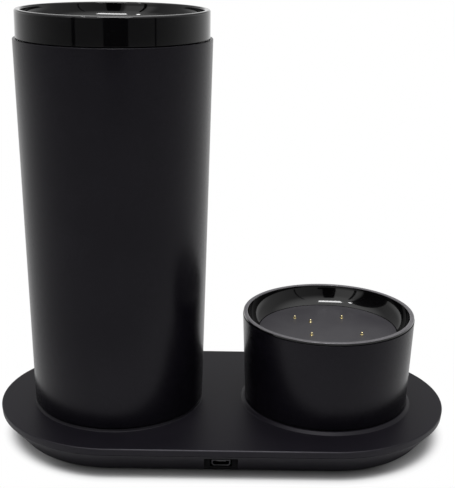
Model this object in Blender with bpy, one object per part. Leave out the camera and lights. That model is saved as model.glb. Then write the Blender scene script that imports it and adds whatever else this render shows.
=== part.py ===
"""A self heating mug on its charging dock, with the battery base that it clicks onto.

Lengths are in metres and +Z is up. The origin lies under the middle of the dock, on the
surface that it stands on. The mug's axis is at -X, the battery base's at +X, and the
charging socket is at the front, which is -Y.
"""

import math

import bmesh
import bpy
from mathutils import Vector

# Clearances
SEAT_GAP = 0.0003
OVERRUN = 0.001
WELD_DISTANCE = 0.0000003

# Round pieces: sides of the large, middle and small ones
SHELL_SIDES = 48
INNER_SIDES = 28
SMALL_SIDES = 10
PIN_SIDES = 8
END_STEPS = 20
CUP_CORNER_STEPS = 3
BOWL_STEPS = 4
DISH_STEPS = 5
LEAD_STEPS = 8
FLAT_DEGREES = 0.5

# The bowl that takes a foot: one in each station and one in the battery base
BOWL_FLARE = 0.0047
BOWL_DEPTH = 0.0081
BOWL_TURN_DEGREES = 50.0

# Dock
STATION_SPARE = 0.0109
PLATE_MARGIN = 0.0141
LIP_SKIRT = 0.0011
LIP_DRAFT = 0.0003
LIP_ROUND = 0.0005
LIP_THICKNESS = 0.0024
COVER_THICKNESS = 0.0018
BASE_INSET = 0.0093
PAN_STEP = 0.0004
PAN_WALL = 0.0019
PAN_FLOOR = 0.0012
FOOT_PROUD = 0.0005
FOOT_RADIUS = 0.0050
FOOT_HEIGHT = 0.0008
FOOT_INSET = 0.0093
FOOT_ANGLE = 67.38
BOSS_RADIUS = 0.0030
TOWER_RADIUS = 0.0044
TOWER_HEIGHT = 0.0030
DOCK_SCREW_INBOARD = 0.02835
DOCK_SCREW_INSET = 0.0078

# Stations
STATION_WALL = 0.0016
COLLAR_HEIGHT = 0.0011
COLLAR_WIDTH = 0.0011
COLLAR_FLARE = 0.0011

# Charging socket, its slot and the notch that they sit in
SOCKET_WIDTH = 0.0075
SOCKET_HEIGHT = 0.0025
SOCKET_LENGTH = 0.0052
SOCKET_WALL = 0.00035
SOCKET_CHAMFER = 0.0007
SOCKET_SETBACK = 0.00035
TONGUE_WIDTH = 0.0038
TONGUE_THICKNESS = 0.0006
TONGUE_LENGTH = 0.0034
SLOT_SIDE = 0.00075
SLOT_SPARE = 0.0003
NOTCH_SIDE = 0.0023
NOTCH_DROP = 0.0018
NOTCH_DEPTH = 0.0077
NOTCH_FACE_THICKNESS = 0.0014

# Circuit boards
BOARD_THICKNESS = 0.0010
DOCK_BOARD_EDGE = 0.0025
BASE_BOARD_EDGE = 0.0010
MUG_BOARD_CLEARANCE = 0.0023
BOARD_TAB_SIDE = 0.0017
BOARD_TAB_SHORT = 0.0034

# Sprung contact pins, each on a track of its own radius, at its own angle
INNER_TRACK = 0.0105
INNER_TO_MIDDLE = 0.0049
MIDDLE_TO_OUTER = 0.0031
TRACK_TO_SCREWS = 0.0080
PIN_RADIUS = 0.0005
PIN_PROUD = 0.0012
PIN_TRAVEL = 0.0009
PIN_NOSE = 0.0003
PIN_SPARE = 0.00014
PIN_SPRING_SPACE = 0.0004
BLOCK_EDGE = 0.0020
BLOCK_PLATE = 0.0010

# Foot under the mug and under the battery base
FOOT_FLOOR = 0.0032
FOOT_WALL = 0.0019
RING_WIDTH = 0.0018
RING_THICKNESS = 0.0005
SHOULDER_WIDTH = 0.0010
SPIGOT_HEIGHT = 0.0060
SPIGOT_WALL = 0.0018
SCREW_INSET = 0.0036
SCREW_ANGLES = (90.0, 210.0, 330.0)
SCREW_HEAD_RADIUS = 0.0022
SCREW_HEAD_HEIGHT = 0.0014
SCREW_RADIUS = 0.0010
SCREW_LENGTH = 0.0080
POST_RADIUS = 0.0027
POST_BORE_SPARE = 0.0020

# Mug body
MUG_RISE = 0.1558
MUG_FOOT_RIM = 0.0026
MUG_FLARE = 0.0035
MUG_WALL = 0.0015
MUG_EDGE_ROUND = 0.0006
MUG_FLANGE = 0.0015
LEDGE_DROP = 0.0032
LEDGE_HEIGHT = 0.0030
LEDGE_CLEARANCE = 0.0007
CUP_WALL = 0.0008
CUP_CORNER = 0.0080
CUP_FLANGE_THICKNESS = 0.0008
AIR_AT_FOOT = 0.0004
AIR_AT_RIM = 0.0010
SLEEVE_THICKNESS = 0.0012
SLEEVE_TOP_DROP = 0.0060
SLEEVE_FOOT_RISE = 0.0120

# Heater under the cup
HEATER_BAY_HEIGHT = 0.0374
CARRIER_EDGE = 0.0020
CARRIER_WALL = 0.0015
CARRIER_RIM_RISE = 0.0090
PAD_CLEARANCE = 0.0004
PAD_THICKNESS = 0.0060
HEATER_PLATE_SHORT = 0.0011
HEATER_PLATE_THICKNESS = 0.0025
FILM_SHORT = 0.0010
FILM_THICKNESS = 0.0005
LEAD_HOLE_RADIUS = 0.0040
LEAD_HOLE_PLACE = 0.0120
LEAD_RADIUS = 0.0009
LEAD_BEND = 0.0040
SENSOR_HOLE_RADIUS = 0.0022
SENSOR_RADIUS = 0.0015
SENSOR_HEIGHT = 0.0040
PEG_RADIUS = 0.0016
PEG_INSET = 0.0050
PEG_HEIGHT = 0.0028
PEG_ANGLES = (30.0, 150.0, 270.0)

# Lid
LID_STEP = 0.0011
LID_FLOOR = 0.0031
LID_RIM_WIDTH = 0.0024
LID_RIM_ROUND = 0.0008
DISH_DEPTH = 0.0080
PLUG_CLEARANCE = 0.0010
PLUG_WALL = 0.0030
PLUG_LENGTH = 0.0120
SEAL_GROOVE_DROP = 0.0050
SEAL_GROOVE_HEIGHT = 0.0030
SEAL_GROOVE_DEPTH = 0.0014
SIP_LENGTH = 0.0140
SIP_WIDTH = 0.0050
SIP_CORNER = 0.0017
SIP_INSET = 0.0027
SLIDER_MARGIN = 0.0010
SLIDER_WIDTH = 0.0200
SLIDER_LENGTH = 0.0220
SLIDER_THICKNESS = 0.0016
GRIP_WIDTH = 0.0100
GRIP_HEIGHT = 0.0016
GRIP_LENGTH = 0.0022
SLIDER_PAD_THICKNESS = 0.0008
STEM_WIDTH = 0.0036
STEM_LENGTH = 0.0040
STEM_SETBACK = 0.0120
RETAINER_WIDTH = 0.0080
RETAINER_THICKNESS = 0.0012
VENT_RADIUS = 0.0011
VENT_INSET = 0.0022

# Battery base
BASE_WALL = 0.0018
BASE_TOP_WALL = 0.0009
BASE_RIM_WIDTH = 0.0020
BOWL_FLANGE = 0.0010
BOWL_RIM_ROUND = 0.0004
BOWL_WALL = 0.0018
BOWL_FLOOR_THICKNESS = 0.0015
FLOOR_PLATE_THICKNESS = 0.0015
BASE_PIN_BLOCK_HEIGHT = 0.0034
CELL_HEIGHT = 0.0125
CELL_ROUND = 0.0020
CELL_SWELL = 0.0005
TRAY_WALL = 0.0012
TRAY_HEIGHT = 0.0180
TRAY_FLOOR = 0.0012
TRAY_SIDE_CLEARANCE = 0.00075
TRAY_END_CLEARANCE = 0.00255

# Radii that follow from the sizes above, from the pins' inner track outwards
MIDDLE_TRACK = INNER_TRACK + INNER_TO_MIDDLE
OUTER_TRACK = MIDDLE_TRACK + MIDDLE_TO_OUTER
BLOCK_RADIUS = OUTER_TRACK + BLOCK_EDGE
SCREW_CIRCLE = OUTER_TRACK + TRACK_TO_SCREWS
BOWL_FLOOR_RADIUS = SCREW_CIRCLE + SCREW_INSET
BOWL_RIM_RADIUS = BOWL_FLOOR_RADIUS + BOWL_FLARE
COLLAR_TOP_RADIUS = BOWL_RIM_RADIUS + COLLAR_WIDTH
COLLAR_BASE_RADIUS = COLLAR_TOP_RADIUS + COLLAR_FLARE
DOCK_END_RADIUS = COLLAR_BASE_RADIUS + PLATE_MARGIN
PAN_TOP_RADIUS = DOCK_END_RADIUS - LIP_DRAFT - PAN_STEP
PAN_BASE_RADIUS = DOCK_END_RADIUS - BASE_INSET
NOTCH_SETBACK = DOCK_END_RADIUS - NOTCH_DEPTH
SLOT_WIDTH = SOCKET_WIDTH + 2 * SLOT_SIDE
SLOT_HEIGHT = SOCKET_HEIGHT + 2 * SLOT_SPARE
NOTCH_WIDTH = SLOT_WIDTH + 2 * NOTCH_SIDE
SHELL_BORE_RADIUS = BOWL_RIM_RADIUS - SHOULDER_WIDTH
SPIGOT_RADIUS = SHELL_BORE_RADIUS - SEAT_GAP
MUG_FOOT_RADIUS = SHELL_BORE_RADIUS + MUG_FOOT_RIM
MUG_TOP_RADIUS = MUG_FOOT_RADIUS + MUG_FLARE
STATION_SPACING = 2 * MUG_TOP_RADIUS + STATION_SPARE
MUG_X = -STATION_SPACING / 2
BASE_X = STATION_SPACING / 2
BASE_FOOT_RADIUS = SHELL_BORE_RADIUS + BASE_WALL
BASE_RIM_RADIUS = BOWL_RIM_RADIUS + BASE_RIM_WIDTH
CUP_FOOT_RADIUS = MUG_FOOT_RADIUS - MUG_WALL - SLEEVE_THICKNESS - AIR_AT_FOOT
CUP_RIM_RADIUS = MUG_TOP_RADIUS - MUG_WALL - SLEEVE_THICKNESS - AIR_AT_RIM
LID_RADIUS = MUG_TOP_RADIUS - LID_STEP
DISH_RIM_RADIUS = LID_RADIUS - LID_RIM_WIDTH
DISH_ARC = DISH_DEPTH - LID_RIM_ROUND
DISH_FLOOR_RADIUS = DISH_RIM_RADIUS - DISH_ARC
PLUG_RADIUS = CUP_RIM_RADIUS - CUP_WALL - PLUG_CLEARANCE
PIN_BORE = PIN_RADIUS + PIN_SPARE
PIN_HOLE_RADIUS = PIN_RADIUS + SEAT_GAP
CARRIER_RADIUS = SCREW_CIRCLE + CARRIER_EDGE
PAD_RADIUS = CARRIER_RADIUS - CARRIER_WALL - PAD_CLEARANCE
HEATER_PLATE_RADIUS = PAD_RADIUS - HEATER_PLATE_SHORT
FILM_RADIUS = HEATER_PLATE_RADIUS - FILM_SHORT
MUG_BOARD_RADIUS = SCREW_CIRCLE - POST_RADIUS - MUG_BOARD_CLEARANCE

# Where each of a station's five pins stands: its track and its angle
PIN_PLACES = (
    (OUTER_TRACK, 137.0),
    (INNER_TRACK, 130.8),
    (MIDDLE_TRACK, 61.2),
    (INNER_TRACK, 224.6),
    (MIDDLE_TRACK, -23.8),
)

# Levels of the dock, from the table upwards
PAN_BOTTOM = FOOT_PROUD
PAN_FLOOR_TOP = PAN_BOTTOM + PAN_FLOOR
DOCK_BOARD_BOTTOM = PAN_FLOOR_TOP + SEAT_GAP
DOCK_BOARD_TOP = DOCK_BOARD_BOTTOM + BOARD_THICKNESS
SOCKET_BOTTOM = DOCK_BOARD_TOP + SEAT_GAP
CONTACT_PLATE_BOTTOM = DOCK_BOARD_TOP + PIN_TRAVEL + SEAT_GAP
CONTACT_PLATE_TOP = CONTACT_PLATE_BOTTOM + BLOCK_PLATE
STATION_UNDERSIDE = CONTACT_PLATE_TOP + SEAT_GAP
STATION_FLOOR = STATION_UNDERSIDE + STATION_WALL
COLLAR_TOP = STATION_FLOOR + BOWL_DEPTH
PLATE_TOP = COLLAR_TOP - COLLAR_HEIGHT
PLATE_UNDERSIDE = PLATE_TOP - COVER_THICKNESS
LIP_BOTTOM = PLATE_UNDERSIDE - LIP_SKIRT
PAN_TOP = LIP_BOTTOM - SEAT_GAP
NOTCH_TOP = LIP_BOTTOM - NOTCH_DROP

# Levels of the mug and its lid, from the station's floor upwards
FOOT_BOTTOM = STATION_FLOOR + SEAT_GAP
FOOT_FLOOR_TOP = FOOT_BOTTOM + FOOT_FLOOR
FOOT_SHOULDER = COLLAR_TOP
SHELL_BOTTOM = FOOT_SHOULDER + SEAT_GAP
SPIGOT_TOP = FOOT_SHOULDER + SPIGOT_HEIGHT
RING_FACE = STATION_FLOOR + PIN_PROUD + SEAT_GAP
RING_TOP = RING_FACE + RING_THICKNESS
POST_BOTTOM = FOOT_FLOOR_TOP + SEAT_GAP
CUP_BOTTOM = FOOT_FLOOR_TOP + HEATER_BAY_HEIGHT
MUG_TOP = PLATE_TOP + MUG_RISE
LID_BOTTOM = MUG_TOP + SEAT_GAP
DISH_FLOOR = LID_BOTTOM + LID_FLOOR
LID_TOP = DISH_FLOOR + DISH_DEPTH

# Levels of the battery base, from its tray upwards
TRAY_BOTTOM = FOOT_FLOOR_TOP + SEAT_GAP
CELLS_BOTTOM = TRAY_BOTTOM + TRAY_FLOOR + SEAT_GAP
CELLS_TOP = CELLS_BOTTOM + CELL_HEIGHT + SEAT_GAP + CELL_HEIGHT
BASE_BOARD_BOTTOM = CELLS_TOP + CELL_SWELL
PIN_BLOCK_BOTTOM = BASE_BOARD_BOTTOM + BOARD_THICKNESS + SEAT_GAP
PIN_BLOCK_TOP = PIN_BLOCK_BOTTOM + BASE_PIN_BLOCK_HEIGHT
SHELF_BOTTOM = PIN_BLOCK_TOP + SEAT_GAP
SHELF_TOP = SHELF_BOTTOM + BOWL_FLOOR_THICKNESS
BOWL_FLOOR = SHELF_TOP + SEAT_GAP + FLOOR_PLATE_THICKNESS
BASE_RIM_TOP = BOWL_FLOOR + BOWL_DEPTH

# The lid's sip opening, its vent and the slider, across the lid
SIP_PLACE = DISH_FLOOR_RADIUS - SIP_INSET
VENT_PLACE = DISH_FLOOR_RADIUS - VENT_INSET
SLIDER_TRAVEL = SIP_WIDTH + 2 * SLIDER_MARGIN
SLIDER_FRONT = -SIP_PLACE + SIP_WIDTH / 2 + SLIDER_MARGIN
SLIDER_BACK = SLIDER_FRONT + SLIDER_LENGTH
STEM_PLACE = SLIDER_FRONT + STEM_SETBACK

# Colours, roughness and metal share of the finishes
MATTE_BLACK = ("matte black shell", (0.022, 0.020, 0.024, 1), 0.55, 0.0)
GLOSS_BLACK = ("gloss black plastic", (0.008, 0.008, 0.009, 1), 0.08, 0.0)
SOFT_BLACK = ("dock coating", (0.026, 0.024, 0.028, 1), 0.6, 0.0)
RUBBER_BLACK = ("black rubber", (0.015, 0.015, 0.015, 1), 0.8, 0.0)
SILICONE = ("grey silicone", (0.12, 0.12, 0.13, 1), 0.6, 0.0)
STEEL = ("brushed steel", (0.55, 0.55, 0.56, 1), 0.3, 1.0)
GOLD = ("gold plating", (0.83, 0.58, 0.22, 1), 0.25, 1.0)
ALUMINIUM = ("aluminium", (0.65, 0.65, 0.67, 1), 0.35, 1.0)
BOARD_GREEN = ("circuit board", (0.02, 0.10, 0.05, 1), 0.5, 0.0)
FOAM_WHITE = ("white foam", (0.70, 0.70, 0.68, 1), 0.9, 0.0)
FILM_AMBER = ("amber film", (0.45, 0.22, 0.05, 1), 0.4, 0.0)
NYLON_GREY = ("grey nylon", (0.15, 0.15, 0.16, 1), 0.6, 0.0)
CELL_WRAP = ("cell wrap", (0.30, 0.33, 0.38, 1), 0.35, 0.0)
WIRE_RED = ("lead insulation", (0.35, 0.03, 0.03, 1), 0.5, 0.0)


def clear_scene():
    """Removes whatever the scene holds."""
    for obj in list(bpy.data.objects):
        bpy.data.objects.remove(obj, do_unlink=True)


def finish_material(finish):
    """The Principled material of a finish, made the first time that it is asked for."""
    name, colour, roughness, metallic = finish
    found = bpy.data.materials.get(name)
    if found:
        return found
    mat = bpy.data.materials.new(name)
    mat.use_nodes = True
    shader = mat.node_tree.nodes["Principled BSDF"]
    shader.inputs["Base Color"].default_value = colour
    shader.inputs["Roughness"].default_value = roughness
    shader.inputs["Metallic"].default_value = metallic
    mat.diffuse_color = colour
    return mat


def world_place(obj):
    """Where an object's origin is, when nothing above it is turned or scaled."""
    place = Vector((0, 0, 0))
    while obj:
        place += obj.location
        obj = obj.parent
    return place


def carrier(name, place, parent=None):
    """An empty on a joint's axis, which carries the pieces that move together."""
    empty = bpy.data.objects.new(name, None)
    bpy.context.collection.objects.link(empty)
    empty.parent = parent
    empty.location = Vector(place) - world_place(parent)
    empty.empty_display_size = LIP_THICKNESS
    return empty


def add_piece(name, bm, finish, parent=None, smooth_angle=35.0):
    """Turns a bmesh in world places into an object under its carrier."""
    bmesh.ops.recalc_face_normals(bm, faces=bm.faces)
    origin = world_place(parent)
    bmesh.ops.translate(bm, verts=bm.verts, vec=-origin)
    mesh = bpy.data.meshes.new(name)
    bm.to_mesh(mesh)
    bm.free()
    mesh.shade_smooth()
    mesh.set_sharp_from_angle(angle=math.radians(smooth_angle))
    obj = bpy.data.objects.new(name, mesh)
    bpy.context.collection.objects.link(obj)
    obj.parent = parent
    if finish:
        mesh.materials.append(finish_material(finish))
    return obj


def combine(target, tool_bm, operation):
    """Cuts a shape out of a piece, or joins it on, with a live Boolean modifier."""
    tool = add_piece(target.name + "_" + operation.lower(), tool_bm, None, target.parent)
    tool.hide_render = True
    tool.display_type = "WIRE"
    step = target.modifiers.new(tool.name, "BOOLEAN")
    step.operation = operation
    step.solver = "EXACT"
    step.object = tool


def cut(target, tool_bm):
    combine(target, tool_bm, "DIFFERENCE")


def join(target, tool_bm):
    combine(target, tool_bm, "UNION")


def turned(profile, sides, x=0.0, y=0.0):
    """A solid of revolution from a closed outline of (radius, height) points.

    A flat end becomes one face, so that no spoke meets the corner of a hole cut in it.
    """
    bm = bmesh.new()
    verts = [bm.verts.new((x + radius, y, height)) for radius, height in profile]
    edges = [bm.edges.new((a, b)) for a, b in zip(verts, verts[1:])]
    if profile[0][0] > 0 or profile[-1][0] > 0:
        edges.append(bm.edges.new((verts[-1], verts[0])))
    bmesh.ops.spin(
        bm,
        geom=verts + edges,
        cent=(x, y, 0),
        axis=(0, 0, 1),
        angle=math.tau,
        steps=sides,
        use_merge=True,
    )
    bmesh.ops.remove_doubles(bm, verts=bm.verts, dist=WELD_DISTANCE)
    poles = [v for v in bm.verts if math.hypot(v.co.x - x, v.co.y - y) < WELD_DISTANCE]
    spokes = list({edge for pole in poles for edge in pole.link_edges})
    bmesh.ops.dissolve_limit(bm, angle_limit=math.radians(FLAT_DEGREES), verts=poles, edges=spokes)
    return bm


def rod(radius, low, high, sides, x=0.0, y=0.0):
    """A plain round bar."""
    return turned([(0, low), (radius, low), (radius, high), (0, high)], sides, x, y)


def extruded(outline, axis, start, end):
    """A prism: a closed outline in the plane across an axis, drawn out along it."""
    bm = bmesh.new()

    def place(u, v):
        if axis == "x":
            return (start, u, v)
        if axis == "y":
            return (u, start, v)
        return (u, v, start)

    face = bm.faces.new([bm.verts.new(place(u, v)) for u, v in outline])
    drawn = bmesh.ops.extrude_face_region(bm, geom=[face])
    moved = [item for item in drawn["geom"] if isinstance(item, bmesh.types.BMVert)]
    step = {"x": (end - start, 0, 0), "y": (0, end - start, 0), "z": (0, 0, end - start)}
    bmesh.ops.translate(bm, verts=moved, vec=step[axis])
    return bm


def block(low, high):
    """A box between two corners."""
    corners = [(low[0], low[1]), (high[0], low[1]), (high[0], high[1]), (low[0], high[1])]
    return extruded(corners, "z", low[2], high[2])


def round_upright_edges(bm, radius, segments=3):
    """Rounds the edges that run along Z."""
    upright = [e for e in bm.edges if abs((e.verts[0].co - e.verts[1].co).normalized().z) > 0.9]
    bmesh.ops.bevel(bm, geom=upright, offset=radius, segments=segments, profile=0.5,
                    affect="EDGES", material=-1)
    return bm


def stadium_outline(radius):
    """The dock's outline: two half circles about the stations, joined by straight sides."""
    points = []
    for side, start in ((1, -math.pi / 2), (-1, math.pi / 2)):
        for step in range(END_STEPS + 1):
            angle = start + math.pi * step / END_STEPS
            x = side * STATION_SPACING / 2 + radius * math.cos(angle)
            points.append((x, radius * math.sin(angle)))
    return points


def stadium(levels):
    """A solid whose skin runs through stadium outlines of (end radius, height)."""
    bm = bmesh.new()
    rings = [
        [bm.verts.new((x, y, height)) for x, y in stadium_outline(radius)]
        for radius, height in levels
    ]
    bm.faces.new(list(reversed(rings[0])))
    bm.faces.new(rings[-1])
    for lower, upper in zip(rings, rings[1:]):
        for i, vert in enumerate(lower):
            after = (i + 1) % len(lower)
            bm.faces.new((vert, lower[after], upper[after], upper[i]))
    return bm


def around(radius, degrees, x=0.0):
    """A place on a circle about an upright axis."""
    angle = math.radians(degrees)
    return x + radius * math.cos(angle), radius * math.sin(angle)


def pins_about(x):
    """Where the contact pins stand about a station's axis."""
    return [around(radius, degrees, x) for radius, degrees in PIN_PLACES]


def pan_outer_radius(height):
    """End radius of the pan's sloped side at a height."""
    share = (height - PAN_BOTTOM) / (PAN_TOP - PAN_BOTTOM)
    return PAN_BASE_RADIUS + share * (PAN_TOP_RADIUS - PAN_BASE_RADIUS)


def pan_height_at(radius):
    """The height at which the pan's sloped side has an end radius."""
    share = (radius - PAN_BASE_RADIUS) / (PAN_TOP_RADIUS - PAN_BASE_RADIUS)
    return PAN_BOTTOM + share * (PAN_TOP - PAN_BOTTOM)


def bowl_arc():
    """The hollow arc up a bowl's side: its centre, its radius, and its slope at floor and rim."""
    slope = math.atan2(BOWL_FLARE, BOWL_DEPTH)
    half_turn = math.radians(BOWL_TURN_DEGREES) / 2
    radius = math.hypot(BOWL_FLARE, BOWL_DEPTH) / 2 / math.sin(half_turn)
    across = BOWL_RIM_RADIUS - radius * math.cos(slope - half_turn)
    above = BOWL_DEPTH + radius * math.sin(slope - half_turn)
    return across, above, radius, slope + half_turn, slope - half_turn


def bowl_radius(above_floor):
    """Radius of a station's or the bowl's side above its floor."""
    across, above, radius, _, _ = bowl_arc()
    return across + math.sqrt(radius ** 2 - (above - above_floor) ** 2)


def bowl_side(floor, spare=0.0, last=BOWL_STEPS):
    """Points up a bowl's side from its floor, as much wider as the spare says."""
    across, above, radius, floor_slope, rim_slope = bowl_arc()
    points = []
    for step in range(last + 1):
        slope = floor_slope + (rim_slope - floor_slope) * step / BOWL_STEPS
        points.append((across + radius * math.cos(slope) + spare,
                       floor + above - radius * math.sin(slope)))
    return points


def four_places(x, y):
    """A place and its mirror images in the dock's two middle planes."""
    return [(side * x, end * y) for side in (-1, 1) for end in (-1, 1)]


def dock_screw_places():
    return four_places(BASE_X - DOCK_SCREW_INBOARD, PAN_BASE_RADIUS - DOCK_SCREW_INSET)


def foot_places():
    return four_places(*around(PAN_BASE_RADIUS - FOOT_INSET, FOOT_ANGLE, BASE_X))


def build_dock_cover():
    """The top of the dock, with its lip, two collared stations and four screw bosses."""
    ceiling_radius = DOCK_END_RADIUS - LIP_THICKNESS
    cover = add_piece(
        "dock_top_cover",
        stadium([
            (ceiling_radius, PLATE_UNDERSIDE),
            (ceiling_radius, LIP_BOTTOM),
            (DOCK_END_RADIUS - LIP_DRAFT, LIP_BOTTOM),
            (DOCK_END_RADIUS, PLATE_TOP - LIP_ROUND),
            (DOCK_END_RADIUS - LIP_ROUND, PLATE_TOP),
        ]),
        SOFT_BLACK,
    )
    flare = (COLLAR_BASE_RADIUS - COLLAR_TOP_RADIUS) / COLLAR_HEIGHT
    buried = PLATE_TOP - COVER_THICKNESS / 2
    for x in (MUG_X, BASE_X):
        join(cover, turned([
            (0, STATION_UNDERSIDE),
            (BOWL_FLOOR_RADIUS, STATION_UNDERSIDE),
            *bowl_side(STATION_FLOOR, STATION_WALL, BOWL_STEPS - 1)[1:],
            (BOWL_RIM_RADIUS + STATION_WALL, buried),
            (COLLAR_BASE_RADIUS + flare * COVER_THICKNESS / 2, buried),
            (COLLAR_TOP_RADIUS, COLLAR_TOP),
            (0, COLLAR_TOP),
        ], SHELL_SIDES, x))
    for x in (MUG_X, BASE_X):
        cut(cover, turned([
            (0, STATION_FLOOR),
            *bowl_side(STATION_FLOOR),
            (bowl_radius(BOWL_DEPTH + OVERRUN), COLLAR_TOP + OVERRUN),
            (0, COLLAR_TOP + OVERRUN),
        ], SHELL_SIDES, x))
        for pin_x, pin_y in pins_about(x):
            cut(cover, rod(PIN_HOLE_RADIUS, STATION_UNDERSIDE - OVERRUN,
                           STATION_FLOOR + OVERRUN, PIN_SIDES, pin_x, pin_y))
    boss_bottom = PAN_FLOOR_TOP + TOWER_HEIGHT + SEAT_GAP
    for x, y in dock_screw_places():
        join(cover, rod(BOSS_RADIUS, boss_bottom, buried, SMALL_SIDES, x, y))
        cut(cover, rod(SCREW_RADIUS + SEAT_GAP, boss_bottom - OVERRUN,
                       PLATE_UNDERSIDE, PIN_SIDES, x, y))


def build_dock_pan():
    """The sloped lower half of the dock, with the notch for the charging socket."""
    wall_top_inside = PAN_TOP_RADIUS - PAN_WALL
    pan = add_piece(
        "dock_bottom_pan",
        stadium([
            (pan_outer_radius(PAN_FLOOR_TOP) - PAN_WALL, PAN_FLOOR_TOP),
            (wall_top_inside, PAN_TOP),
            (PAN_TOP_RADIUS, PAN_TOP),
            (PAN_BASE_RADIUS, PAN_BOTTOM),
        ]),
        SOFT_BLACK,
    )
    housing_high = NOTCH_TOP + NOTCH_FACE_THICKNESS / 2
    housing_back = NOTCH_SETBACK - NOTCH_FACE_THICKNESS
    side = NOTCH_WIDTH / 2
    join(pan, extruded([
        (-housing_back, pan_height_at(housing_back + PAN_WALL / 2)),
        (PAN_WALL / 2 - pan_outer_radius(housing_high), housing_high),
        (-housing_back, housing_high),
    ], "x", -side - NOTCH_FACE_THICKNESS, side + NOTCH_FACE_THICKNESS))
    cut(pan, block((-side, -DOCK_END_RADIUS, PAN_BOTTOM - OVERRUN),
                   (side, -NOTCH_SETBACK, NOTCH_TOP)))
    slot_low = SOCKET_BOTTOM - SLOT_SPARE
    cut(pan, block((-SLOT_WIDTH / 2, -DOCK_END_RADIUS, slot_low),
                   (SLOT_WIDTH / 2, -housing_back + OVERRUN, slot_low + SLOT_HEIGHT)))
    head_room = SCREW_HEAD_HEIGHT + SEAT_GAP
    for x, y in dock_screw_places():
        join(pan, rod(TOWER_RADIUS, PAN_BOTTOM + PAN_FLOOR / 2, PAN_FLOOR_TOP + TOWER_HEIGHT,
                      SMALL_SIDES, x, y))
        cut(pan, rod(SCREW_HEAD_RADIUS + SEAT_GAP, PAN_BOTTOM - OVERRUN, PAN_BOTTOM + head_room,
                     SMALL_SIDES, x, y))
        cut(pan, rod(SCREW_RADIUS + SEAT_GAP, PAN_BOTTOM, PAN_FLOOR_TOP + TOWER_HEIGHT + OVERRUN,
                     PIN_SIDES, x, y))
    for x, y in foot_places():
        cut(pan, rod(FOOT_RADIUS + SEAT_GAP, PAN_BOTTOM - OVERRUN, FOOT_HEIGHT + SEAT_GAP,
                     SMALL_SIDES, x, y))


def build_dock_feet():
    """Four rubber discs that stand the dock just clear of the table."""
    for number, (x, y) in enumerate(foot_places(), 1):
        add_piece(f"dock_foot_{number}",
                  rod(FOOT_RADIUS, 0, FOOT_HEIGHT, SMALL_SIDES, x, y),
                  RUBBER_BLACK)


def screw(bottom, length, x, y):
    """A pan head screw that points up, its head at the bottom."""
    shank_top = bottom + SCREW_HEAD_HEIGHT + length
    return turned([
        (0, bottom),
        (SCREW_HEAD_RADIUS, bottom),
        (SCREW_HEAD_RADIUS, bottom + SCREW_HEAD_HEIGHT),
        (SCREW_RADIUS, bottom + SCREW_HEAD_HEIGHT),
        (SCREW_RADIUS, shank_top - SCREW_RADIUS),
        (0, shank_top),
    ], SMALL_SIDES, x, y)


def build_dock_screws():
    """Four screws that pull the pan up to the cover's bosses."""
    for number, (x, y) in enumerate(dock_screw_places(), 1):
        add_piece(f"dock_screw_{number}", screw(PAN_BOTTOM, SCREW_LENGTH, x, y), STEEL)


def build_dock_board():
    """The board under both stations, with a tab that carries the socket."""
    radius = BLOCK_RADIUS + DOCK_BOARD_EDGE
    board = add_piece(
        "dock_circuit_board",
        stadium([(radius, DOCK_BOARD_BOTTOM), (radius, DOCK_BOARD_TOP)]),
        BOARD_GREEN,
    )
    tab_side = NOTCH_WIDTH / 2 + BOARD_TAB_SIDE
    join(board, block(
        (-tab_side, BOARD_TAB_SHORT - NOTCH_SETBACK, DOCK_BOARD_BOTTOM),
        (tab_side, -radius / 2, DOCK_BOARD_TOP),
    ))


def socket_outline(inset):
    """The charging socket's mouth: wide at the top, with its lower corners cut off."""
    low = SOCKET_BOTTOM + inset
    high = SOCKET_BOTTOM + SOCKET_HEIGHT - inset
    side = SOCKET_WIDTH / 2 - inset
    cut_off = SOCKET_CHAMFER
    return [
        (-side + cut_off, low),
        (side - cut_off, low),
        (side, low + cut_off),
        (side, high),
        (-side, high),
        (-side, low + cut_off),
    ]


def build_socket():
    """The steel shell of the charging socket and the tongue inside it."""
    front = SOCKET_SETBACK - NOTCH_SETBACK
    back = front + SOCKET_LENGTH
    shell = add_piece("socket_shell", extruded(socket_outline(0), "y", front, back), STEEL)
    cut(shell, extruded(socket_outline(SOCKET_WALL), "y", front - OVERRUN, back - SOCKET_WALL))
    tongue_back = back - SOCKET_WALL - SEAT_GAP
    middle = SOCKET_BOTTOM + SOCKET_HEIGHT / 2
    add_piece(
        "socket_tongue",
        block((-TONGUE_WIDTH / 2, tongue_back - TONGUE_LENGTH, middle),
              (TONGUE_WIDTH / 2, tongue_back, middle + TONGUE_THICKNESS)),
        NYLON_GREY,
    )


def contact_pin(bottom, floor, x, y):
    """A round nosed plunger that stands above a floor."""
    top = floor + PIN_PROUD
    return turned([
        (0, bottom),
        (PIN_RADIUS, bottom),
        (PIN_RADIUS, top - PIN_NOSE),
        (PIN_RADIUS / 2, top),
        (0, top),
    ], PIN_SIDES, x, y)


def build_station_contacts(side, x):
    """A station's five pins, on the sprung plate that carries them under its floor."""
    moving = carrier(f"{side}_contacts_press", (x, 0, CONTACT_PLATE_BOTTOM))
    contacts = add_piece(
        f"{side}_station_contacts",
        rod(BLOCK_RADIUS, CONTACT_PLATE_BOTTOM, CONTACT_PLATE_TOP, INNER_SIDES, x),
        GOLD,
        moving,
    )
    pin_bottom = CONTACT_PLATE_TOP - BLOCK_PLATE / 2
    for pin_x, pin_y in pins_about(x):
        join(contacts, contact_pin(pin_bottom, STATION_FLOOR, pin_x, pin_y))


def foot_outer_radius(height):
    """Radius of the foot's rounded side, which fits a bowl with the seat gap all round."""
    return bowl_radius(height - STATION_FLOOR) - SEAT_GAP


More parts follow.
